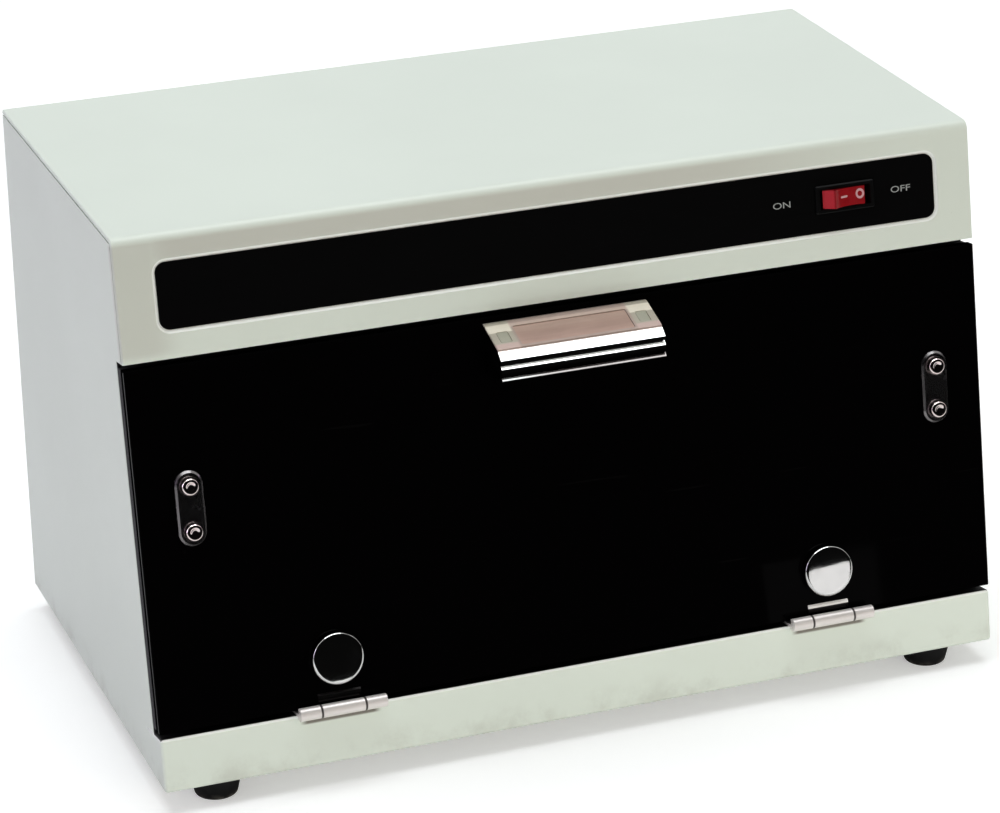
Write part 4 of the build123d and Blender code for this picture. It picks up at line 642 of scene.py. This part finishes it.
def quartz_glass(name):
    """Clear tube: drawing lines along it and a grey deposit towards both ends."""
    r = Recipe(name)
    ends = abs(r.axis("X")).between(*DEPOSIT)
    cloud = r.noise(80.0, 3.0)
    base = r.blend(ends * (0.45 + cloud * 0.4), (0.93, 0.97, 1.0, 1.0), (0.16, 0.15, 0.15, 1.0))
    lines = r.noise(900.0, 2.0, 0.5, r.stretched(0.02, 1.0, 1.0))
    return r.finish(base, 0.03 + ends * 0.12 + cloud * 0.02, relief=lines, depth=0.00002, strength=0.12, **{
        "IOR": 1.46, "Transmission Weight": 0.9})


def laminated_core(name, colour):
    """Choke: stacked steel sheets under dipped lacquer, with drips."""
    r = Recipe(name)
    sheets = r.noise(1.0, 1.0, 0.5, r.stretched(0.0, 2.0, 2400.0))
    drips = r.noise(60.0, 4.0, 0.6)
    base = r.blend(sheets, rgba(colour, 0.55), rgba(colour, 1.3))
    return r.finish(base, 0.34 + drips * 0.25, 0.35, sheets + drips * 0.5, 0.0002, 0.4)


def wire_cover(name):
    """Insulated wires: each has its own colour by its place across the cabinet, with a soft sheen."""
    r = Recipe(name)
    across = r.axis("X")
    ramp = r.add("ShaderNodeValToRGB", {"stops": [
        (0.0, (0.75, 0.75, 0.72, 1.0)), (0.33, (0.30, 0.12, 0.05, 1.0)), (0.62, (0.05, 0.12, 0.45, 1.0)),
        (0.86, (0.12, 0.35, 0.10, 1.0))]}, {0: (across + 0.16) / 0.32})
    weave = r.noise(1400.0, 2.0)
    base = r.blend(weave * 0.3, ramp, (0.85, 0.85, 0.83, 1.0))
    return r.finish(base, 0.42 + weave * 0.12, relief=weave, depth=0.00003, strength=0.2)


def screen_ink(name, colour):
    """Printed lettering: slightly uneven ink."""
    r = Recipe(name)
    patch = r.noise(2200.0, 3.0, 0.6)
    base = r.blend(patch, rgba(colour, 0.82), rgba(colour, 1.05))
    return r.finish(base, 0.5 + patch * 0.1, relief=patch, depth=0.00002, strength=0.2)


class SterilizerLooks(bpy.types.PropertyGroup):
    """Colours and small sizes that a user may change."""

    paint: FloatVectorProperty(
        name="Cabinet paint", description="Colour of the baked enamel", subtype="COLOR", size=3,
        min=0.0, max=1.0, default=(0.735, 0.790, 0.715))
    door: FloatVectorProperty(
        name="Door", description="Colour of the acrylic sheet", subtype="COLOR", size=3,
        min=0.0, max=1.0, default=(0.0008, 0.0007, 0.0008))
    plating: FloatVectorProperty(
        name="Plating", description="Colour of the polished plating", subtype="COLOR", size=3,
        min=0.0, max=1.0, default=(0.80, 0.79, 0.78))
    lens: FloatVectorProperty(
        name="Rocker", description="Colour of the rocker's lens", subtype="COLOR", size=3,
        min=0.0, max=1.0, default=(0.26, 0.006, 0.010))
    letter_height: FloatProperty(
        name="Letters", description="Height of the lettering beside the switch", default=0.0026,
        min=0.001, max=0.01, unit="LENGTH")
    mark_size: FloatProperty(
        name="Rocker marks", description="Length of the bar on the rocker", default=0.0036,
        min=0.001, max=0.01, unit="LENGTH")


class SterilizerStudio(bpy.types.PropertyGroup):
    """The camera and the lamps."""

    lens: FloatProperty(
        name="Lens", description="Focal length for a 36 mm wide frame", default=140.33, min=10.0, max=500.0,
        unit="CAMERA")
    overhead: FloatProperty(
        name="Overhead lamp", description="Power of the large lamp above", default=48.4, min=0.0, max=500.0,
        unit="POWER")
    room: FloatProperty(
        name="Room light", description="Strength of the even light from all round", default=0.33,
        min=0.0, max=2.0)


class StepOperator:
    """What all steps share."""

    bl_options = {"REGISTER"}


class STERILIZER_OT_cabinet(StepOperator, bpy.types.Operator):
    """Paint the sheet-metal cabinet, its cover and its rear panel"""

    bl_idname = "sterilizer.cabinet"
    bl_label = "Cabinet"

    def execute(self, context):
        looks = context.scene.sterilizer_looks
        coat_nodes(baked_paint("cabinet_enamel", looks.paint), "cabinet_shell", "top_cover", "rear_panel")
        coat_nodes(soft_rubber("foot_rubber", (0.006, 0.006, 0.0065)), *[
            "foot_" + place for place in ("front_left", "front_right", "rear_left", "rear_right")])
        coat_nodes(spangled_zinc("screw_zinc"), "rear_panel_screws", "cover_screws", "foot_screws",
                   "foot_nuts", "inlet_screws", "catch_screws", "handle_screws", "hinge_clamp_screws",
                   "switch_terminals")
        return {"FINISHED"}


class STERILIZER_OT_door(StepOperator, bpy.types.Operator):
    """Finish the door, its pull, its bright plates and its caps"""

    bl_idname = "sterilizer.door"
    bl_label = "Door"

    def pads(self, finish):
        """Two small plates let into the ends of the pull's top, with a rounded edge and a slight dome.

        Each level is an inset and a height, in thousandths of a metre.
        """
        levels = [(0.0, -0.38), (0.0, -0.14), (0.05, -0.08), (0.15, -0.05), (0.9, 0.0), (1.6, 0.01)]
        x, y, z = plate_rows(PAD_WIDTH, PAD_DEPTH, PAD_CORNER, np.array(levels) / 1000)
        for side, word in ((-1, "left"), (1, "right")):
            points = on_pull(side * (PULL_END - PAD_FROM_END) + x, y - PAD_FORWARD, z)
            pad = surface("pull_pad_" + word, points, round_columns=True, caps=True)
            dress(pad, "door", finish)

    def discs(self, finish):
        """Hinge discs, turned from a profile.

        The profile is the side, a quarter circle for the rim and a low dome whose height falls with the
        square of the radius.
        """
        bend = np.linspace(0.0, np.pi / 2, 14)
        dome = np.geomspace(1.0, 0.004, 24)[1:]
        flat = DISC_RADIUS - DISC_ROUND
        rim_top = DISC_HEIGHT - DISC_CROWN
        radius = np.concatenate([[DISC_RADIUS], flat + DISC_ROUND * np.cos(bend), flat * dome])
        height = np.concatenate([[TINY], rim_top - DISC_ROUND * (1.0 - np.sin(bend)),
                                 DISC_HEIGHT - DISC_CROWN * dome ** 2])
        for side, word in ((-1, "left"), (1, "right")):
            piece = turned("turned_disc_" + word, side * HINGE_ACROSS, DISC_UP, radius, height)
            dress(piece, "door", finish)
            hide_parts("hinge_disc_" + word)

    def screw_cups(self, finish):
        """Dished caps on the four screws of the oval plates, turned from a profile.

        The profile is the side, a quarter of an ellipse up to the crest, half a cosine wave down into the
        dish and its flat middle.
        """
        bend = np.linspace(0.0, np.pi / 2, 14)
        dish = np.linspace(0.0, 1.0, 14)[1:]
        radius = np.concatenate([[CUP_RADIUS], CUP_CREST + (CUP_RADIUS - CUP_CREST) * np.cos(bend),
                                 CUP_CREST + (CUP_DISH - CUP_CREST) * dish, [TINY]])
        height = np.concatenate([[TINY], CUP_TOP - CUP_ROUND * (1.0 - np.sin(bend)),
                                 CUP_TOP - CUP_DEPTH * (1.0 - np.cos(np.pi * dish)) / 2,
                                 [CUP_TOP - CUP_DEPTH]])
        out = CATCH_PLATE + height
        for side, word in ((-1, "left"), (1, "right")):
            for step, place in ((-1, "lower"), (1, "upper")):
                up = CATCH_UP + step * CATCH_SPACING / 2
                piece = turned(f"screw_cup_{word}_{place}", side * CATCH_ACROSS, up, radius, out)
                dress(piece, "door", finish)

    def execute(self, context):
        looks = context.scene.sterilizer_looks
        coat_nodes(dark_acrylic("door_acrylic", looks.door), "door_panel")
        bright = plated("bright_plating", looks.plating, 0.07)
        coat_nodes(bright, "catch_cover_screws", "inlet_pins", "lamp_pins")
        smoked = plated("smoked_plating", (0.27, 0.253, 0.257), 0.24)
        coat_nodes(smoked, "catch_cover_left", "catch_cover_right")
        coat_nodes(pull_metal("pull_plating", looks.plating), "door_handle")
        self.discs(plated("disc_plating", looks.plating, 0.04, 0.05))
        self.screw_cups(plated("cap_plating", (0.87, 0.755, 0.74), 0.07))
        coat_nodes(tinted_strip("pull_insert", (0.55, 0.37, 0.31)), "handle_insert")
        self.pads(moulded("pull_pad", (0.40, 0.39, 0.31), 0.34))
        coat_nodes(satin_metal("strike_steel", (0.58, 0.57, 0.55), 0.30, (1.0, 1.0, 0.05)),
                   "strike_plate_left", "strike_plate_right")
        coat_nodes(cell_foam("gasket_foam", (0.014, 0.014, 0.015)), "door_gasket")
        return {"FINISHED"}


class STERILIZER_OT_hinges(StepOperator, bpy.types.Operator):
    """Finish both door hinges"""

    bl_idname = "sterilizer.hinges"
    bl_label = "Hinges"

    def execute(self, context):
        steel = hinge_metal("hinge_steel", (0.93, 0.87, 0.85))
        for side in ("left", "right"):
            coat_nodes(steel, "hinge_base_leaf_" + side, "hinge_door_leaf_" + side, "hinge_pin_" + side)
        coat_nodes(steel, "hinge_leaf_screws")
        return {"FINISHED"}


class STERILIZER_OT_header(StepOperator, bpy.types.Operator):
    """Finish the name panel and the switch, with its lettering and marks"""

    bl_idname = "sterilizer.header"
    bl_label = "Header"

    def letters(self, text, across, height, finish):
        """Flat lettering on the name panel, made a mesh before it is placed."""
        curve = bpy.data.curves.new("words_" + text.lower(), "FONT")
        curve.body = text
        curve.size = height / CAPITAL_SHARE
        curve.align_x = "CENTER"
        thickness = 0.00004
        curve.extrude = thickness
        source = bpy.data.objects.new("words_source", curve)
        bpy.context.scene.collection.objects.link(source)
        bpy.context.view_layer.update()
        mesh = bpy.data.meshes.new_from_object(source)
        bpy.data.objects.remove(source)
        flat = np.empty(len(mesh.vertices) * 3)
        mesh.vertices.foreach_get("co", flat)
        flat = flat.reshape(-1, 3)
        lift = 0.00006
        placed = on_front(across + flat[:, 0] * WORD_STRETCH, SWITCH_UP - height / 2 + flat[:, 1],
                          LABEL_OUT + lift + flat[:, 2])
        mesh.vertices.foreach_set("co", placed.ravel())
        mesh.update()
        piece = bpy.data.objects.new("lettering_" + text.lower(), mesh)
        bpy.context.scene.collection.objects.link(piece)
        dress(piece, "cabinet", finish)

    def marks(self, size, finish):
        """The rocker's bar and ring, raised a little from its hollow face.

        The bar is a rounded plate, whose levels are an inset and a height in thousandths of a metre. The
        ring is an oval whose section, a flat oval too, is carried round it.
        """
        levels = [(0.0, -0.03), (0.0, 0.03), (0.04, 0.05), (0.12, 0.06)]
        bar_height = size * 0.24
        bar_corner = size * 0.11
        x, y, z = plate_rows(size, bar_height, bar_corner, np.array(levels) / 1000)
        placed = on_rocker(x + BAR_PLACE[0], y + BAR_PLACE[1], z)
        bar = surface("rocker_bar", placed, round_columns=True, caps=True)
        dress(bar, "rocker", finish)
        turn = np.linspace(0.0, 2 * np.pi, 72, endpoint=False)[None, :]
        section = np.linspace(0.0, 2 * np.pi, 16, endpoint=False)[:, None]
        ring_across = size * 0.37
        ring_up = size * 0.46
        ring_band = 0.30
        ring_lift = 0.00005
        reach = 1.0 + ring_band * np.cos(section)
        x = ring_across * reach * np.cos(turn)
        y = ring_up * reach * np.sin(turn)
        z = ring_lift * np.sin(section) + 0.0 * turn
        placed = on_rocker(x + RING_PLACE[0], y + RING_PLACE[1], z)
        ring = surface("rocker_ring", placed, round_columns=True, round_rows=True)
        dress(ring, "rocker", finish)

    def execute(self, context):
        looks = context.scene.sterilizer_looks
        coat_nodes(printed_panel("panel_black", (0.0022, 0.0022, 0.0024)), "header_label")
        dark = moulded("switch_plastic", (0.003, 0.003, 0.0033), 0.34, specular=0.12)
        coat_nodes(dark, "switch_housing", "door_switch")
        coat_nodes(lens_red("rocker_lens", looks.lens), "switch_rocker", "door_switch_plunger")
        ink = screen_ink("grey_ink", (0.34, 0.35, 0.35))
        self.letters("ON", SWITCH_ACROSS + ON_FROM_SWITCH, looks.letter_height, ink)
        self.letters("OFF", SWITCH_ACROSS + OFF_FROM_SWITCH, looks.letter_height, ink)
        self.marks(looks.mark_size, screen_ink("pink_ink", (0.62, 0.36, 0.38)))
        return {"FINISHED"}


class STERILIZER_OT_chamber(StepOperator, bpy.types.Operator):
    """Finish the lining, the reflector, the tray and the catches"""

    bl_idname = "sterilizer.chamber"
    bl_label = "Chamber"

    def execute(self, context):
        lining = satin_metal("lining_sheet", (0.80, 0.81, 0.82), 0.34, (0.02, 1.0, 1.0), 1200.0, 0.40)
        coat_nodes(lining, "chamber_liner")
        coat_nodes(plated("reflector_sheet", (0.86, 0.87, 0.88), 0.10), "lamp_reflector")
        steel = satin_metal("tray_steel", (0.66, 0.66, 0.65), 0.30, (0.03, 1.0, 1.0), metal=0.55)
        coat_nodes(steel, "tool_tray")
        coat_nodes(moulded("white_plastic", (0.74, 0.74, 0.70)), "catch_body_left", "catch_body_right",
                   "lamp_holder_left", "lamp_holder_right", "starter_socket", "terminal_block")
        coat_nodes(moulded("magnet_ferrite", (0.045, 0.043, 0.045), 0.5, 2600.0), "catch_magnet_left",
                   "catch_magnet_right")
        return {"FINISHED"}


class STERILIZER_OT_lamp(StepOperator, bpy.types.Operator):
    """Finish the lamp and wind its electrodes"""

    bl_idname = "sterilizer.lamp"
    bl_label = "Lamp"

    def electrode(self, side, tube, finish):
        """Coiled filament across the tube near one end, on two stems.

        The coil's centre line runs along Y; a point is that line plus the coil's radius times the turning
        angle's cosine and sine, and the wire's own section is carried round it.
        """
        low, high = tube
        middle = (np.array(low) + np.array(high)) / 2
        from_end = 0.022
        length = 0.0075
        radius = 0.0007
        wire = 0.00018
        turns = 14
        points_a_turn = 14
        x = side * (high[0] - from_end)
        along = np.linspace(0.0, 1.0, turns * points_a_turn)
        angle = 2 * np.pi * turns * along
        line = np.stack([x + radius * np.cos(angle), middle[1] + (along - 0.5) * length,
                         middle[2] + radius * np.sin(angle)], axis=-1)
        stem = np.linspace(0.0, 1.0, 6)[:, None]
        first = np.array([side * high[0], line[0, 1], middle[2]])
        last = np.array([side * high[0], line[-1, 1], middle[2]])
        path = np.concatenate([first + (line[0] - first) * stem[:-1], line,
                               line[-1] + (last - line[-1]) * stem[1:]])
        word = "right" if side > 0 else "left"
        dress(tube_along("lamp_electrode_" + word, path, wire, 8), "cabinet", finish)

    def execute(self, context):
        coat_nodes(quartz_glass("tube_quartz"), "lamp_tube")
        coat_nodes(satin_metal("cap_metal", (0.66, 0.66, 0.67), 0.25), "lamp_end_caps", "starter")
        tungsten = satin_metal("tungsten_wire", (0.42, 0.41, 0.40), 0.35)
        for side in (-1, 1):
            self.electrode(side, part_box("lamp_tube"), tungsten)
        return {"FINISHED"}


class STERILIZER_OT_electrics(StepOperator, bpy.types.Operator):
    """Finish the choke, the wiring and the mains inlet"""

    bl_idname = "sterilizer.electrics"
    bl_label = "Electrics"

    def execute(self, context):
        coat_nodes(laminated_core("choke_lacquer", (0.16, 0.165, 0.18)), "ballast")
        coat_nodes(wire_cover("wire_cover"), "wiring")
        coat_nodes(moulded("inlet_plastic", (0.014, 0.014, 0.015), 0.38), "mains_inlet")
        return {"FINISHED"}


class STERILIZER_OT_stage(StepOperator, bpy.types.Operator):
    """Set up the floor, the lamps, the room and the camera"""

    bl_idname = "sterilizer.stage"
    bl_label = "Stage"

    def lamp(self, name, place, aim, size, power, colour):
        """Large soft lamp that points at a place."""
        data = bpy.data.lights.new(name, "AREA")
        data.shape = "RECTANGLE"
        data.size, data.size_y = size
        data.energy = power
        data.color = colour
        lamp = bpy.data.objects.new(name, data)
        bpy.context.scene.collection.objects.link(lamp)
        away = np.array(place) - np.array(aim)
        away /= np.linalg.norm(away)
        nearly_upright = abs(away[2]) > 0.9
        side = np.cross([0.0, 1.0, 0.0] if nearly_upright else [0.0, 0.0, 1.0], away)
        side /= np.linalg.norm(side)
        lamp.matrix_world = Matrix.Translation(place) @ Matrix(np.column_stack(
            [side, np.cross(away, side), away]).tolist()).to_4x4()
        return lamp

    def floor(self):
        """Pale floor: a round sheet whose height is zero everywhere, in rings that widen outwards."""
        ring = np.geomspace(9.0, 0.001, 40)[:, None]
        angle = np.linspace(0.0, 2 * np.pi, 96, endpoint=False)[None, :]
        flat = np.stack(np.broadcast_arrays(ring * np.cos(angle), ring * np.sin(angle), 0.0 * ring), axis=-1)
        sheet = surface("studio_floor", flat, round_columns=True, smooth=False)
        r = Recipe("floor_paper")
        fibre = r.noise(240.0, 3.0)
        base = r.blend(fibre, (0.86, 0.86, 0.855, 1.0), (0.89, 0.89, 0.885, 1.0))
        paper = r.add("ShaderNodeBsdfDiffuse", None, {"Color": base})
        seen = r.add("ShaderNodeLightPath", output="Is Camera Ray")
        lift = r.add("ShaderNodeEmission", None, {"Color": (1.0, 1.0, 1.0, 1.0), "Strength": seen * 0.38})
        r.add_output(r.add("ShaderNodeAddShader", None, {0: paper, 1: lift}))
        sheet.data.materials.append(r.material)

    def room(self, strength):
        """World: an even light, seen as white by the camera, in gloss and through glass."""
        world = bpy.data.worlds.new("studio_room")
        world.use_nodes = True
        tree = world.node_tree
        tree.nodes.clear()
        path = tree.nodes.new("ShaderNodeLightPath")
        most = tree.nodes.new("ShaderNodeMath")
        most.operation = "MAXIMUM"
        also = tree.nodes.new("ShaderNodeMath")
        also.operation = "MAXIMUM"
        tree.links.new(path.outputs["Is Camera Ray"], most.inputs[0])
        tree.links.new(path.outputs["Is Glossy Ray"], most.inputs[1])
        tree.links.new(most.outputs[0], also.inputs[0])
        tree.links.new(path.outputs["Is Transmission Ray"], also.inputs[1])
        amount = tree.nodes.new("ShaderNodeMapRange")
        amount.inputs["To Min"].default_value = strength
        amount.inputs["To Max"].default_value = 1.0
        tree.links.new(also.outputs[0], amount.inputs["Value"])
        back = tree.nodes.new("ShaderNodeBackground")
        tree.links.new(amount.outputs[0], back.inputs["Strength"])
        out = tree.nodes.new("ShaderNodeOutputWorld")
        tree.links.new(back.outputs[0], out.inputs["Surface"])
        bpy.context.scene.world = world

    def flag(self, name, across, near, low, high, tone):
        """Upright cloth or card in front of the table, which only gloss shows: a flat grid of one tone."""
        u, v = np.meshgrid(np.linspace(0.0, 1.0, 24), np.linspace(0.0, 1.0, 6))
        points = np.stack([across[0] + (across[1] - across[0]) * u, near + 0.0 * u, low + (high - low) * v],
                          axis=-1)
        cloth = surface(name, points)
        r = Recipe(name)
        weave = r.noise(60.0, 3.0)
        steady = r.blend(weave, rgba((tone, tone, tone), 0.9), rgba((tone, tone, tone), 1.1))
        r.add_output(r.add("ShaderNodeEmission", None, {"Color": steady, "Strength": 1.0}))
        cloth.data.materials.append(r.material)
        for ray in ("camera", "diffuse", "transmission", "shadow"):
            setattr(cloth, "visible_" + ray, False)

    def execute(self, context):
        studio = context.scene.sterilizer_studio
        scene = context.scene
        scene.view_settings.view_transform = "Standard"
        self.floor()
        self.room(studio.room)
        self.flag("studio_flag", across=(-3.2, 3.4), near=-0.30, low=0.001, high=1.1, tone=0.003)
        self.flag("studio_card", across=(0.158, 0.217), near=-0.292, low=0.002, high=0.0335, tone=0.90)
        self.lamp("lamp_above", place=(0.0, 0.25, 2.6), aim=(0.0, 0.0, 0.2), size=(2.4, 2.0),
                  power=studio.overhead, colour=(0.93, 0.98, 0.995))
        self.lamp("lamp_left", place=(-2.6, 0.3, 0.6), aim=(0.0, 0.0, 0.12), size=(1.4, 1.4),
                  power=12.6, colour=(0.85, 0.69, 1.0))
        front = self.lamp("lamp_front", place=(0.9, -2.5, 0.7), aim=(0.0, -0.1, 0.10), size=(1.4, 1.0),
                          power=14.5, colour=(1.0, 0.88, 0.72))
        low = self.lamp("lamp_low", place=(0.0, -0.34, 0.02), aim=(0.0, -0.1, 0.02), size=(0.9, 0.03),
                        power=0.27, colour=(0.95, 1.0, 0.95))
        for lamp in (front, low):
            lamp.visible_glossy = False
        data = bpy.data.cameras.new("studio_camera")
        data.sensor_width = 36.0
        data.lens = studio.lens
        data.clip_end = 60.0
        camera = bpy.data.objects.new("studio_camera", data)
        scene.collection.objects.link(camera)
        right = (0.9370814948, -0.3486862050, -0.0172105345)
        up = (0.1491817718, 0.3553756689, 0.9227420728)
        back = (-0.3156357285, -0.8672491326, 0.3850363994)
        place = (-0.53028, -1.45796, 0.75513)
        turn = Matrix(np.column_stack([right, up, back]).tolist()).to_4x4()
        camera.matrix_world = Matrix.Translation(place) @ turn
        scene.camera = camera
        return {"FINISHED"}


STEPS = (
    STERILIZER_OT_cabinet,
    STERILIZER_OT_door,
    STERILIZER_OT_hinges,
    STERILIZER_OT_header,
    STERILIZER_OT_chamber,
    STERILIZER_OT_lamp,
    STERILIZER_OT_electrics,
    STERILIZER_OT_stage,
)


class STERILIZER_PT_panel(bpy.types.Panel):
    """Sidebar panel with the sizes, the colours and the steps"""

    bl_idname = "STERILIZER_PT_panel"
    bl_label = "Tool sterilizer"
    bl_space_type = "VIEW_3D"
    bl_region_type = "UI"
    bl_category = "Sterilizer"

    def draw(self, context):
        scene = context.scene
        for group in (scene.sterilizer_looks, scene.sterilizer_studio):
            box = self.layout.box()
            for name in group.bl_rna.properties.keys():
                if name not in ("rna_type", "name"):
                    box.prop(group, name)
        for step in STEPS:
            self.layout.operator(step.bl_idname)


CLASSES = (SterilizerLooks, SterilizerStudio, *STEPS, STERILIZER_PT_panel)


def register():
    for item in CLASSES:
        bpy.utils.register_class(item)
    bpy.types.Scene.sterilizer_looks = PointerProperty(type=SterilizerLooks)
    bpy.types.Scene.sterilizer_studio = PointerProperty(type=SterilizerStudio)


def unregister():
    del bpy.types.Scene.sterilizer_studio
    del bpy.types.Scene.sterilizer_looks
    for item in reversed(CLASSES):
        bpy.utils.unregister_class(item)


def main():
    """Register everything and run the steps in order."""
    register()
    for step in STEPS:
        group, name = step.bl_idname.split(".")
        getattr(getattr(bpy.ops, group), name)()


if __name__ == "__main__":
    main()
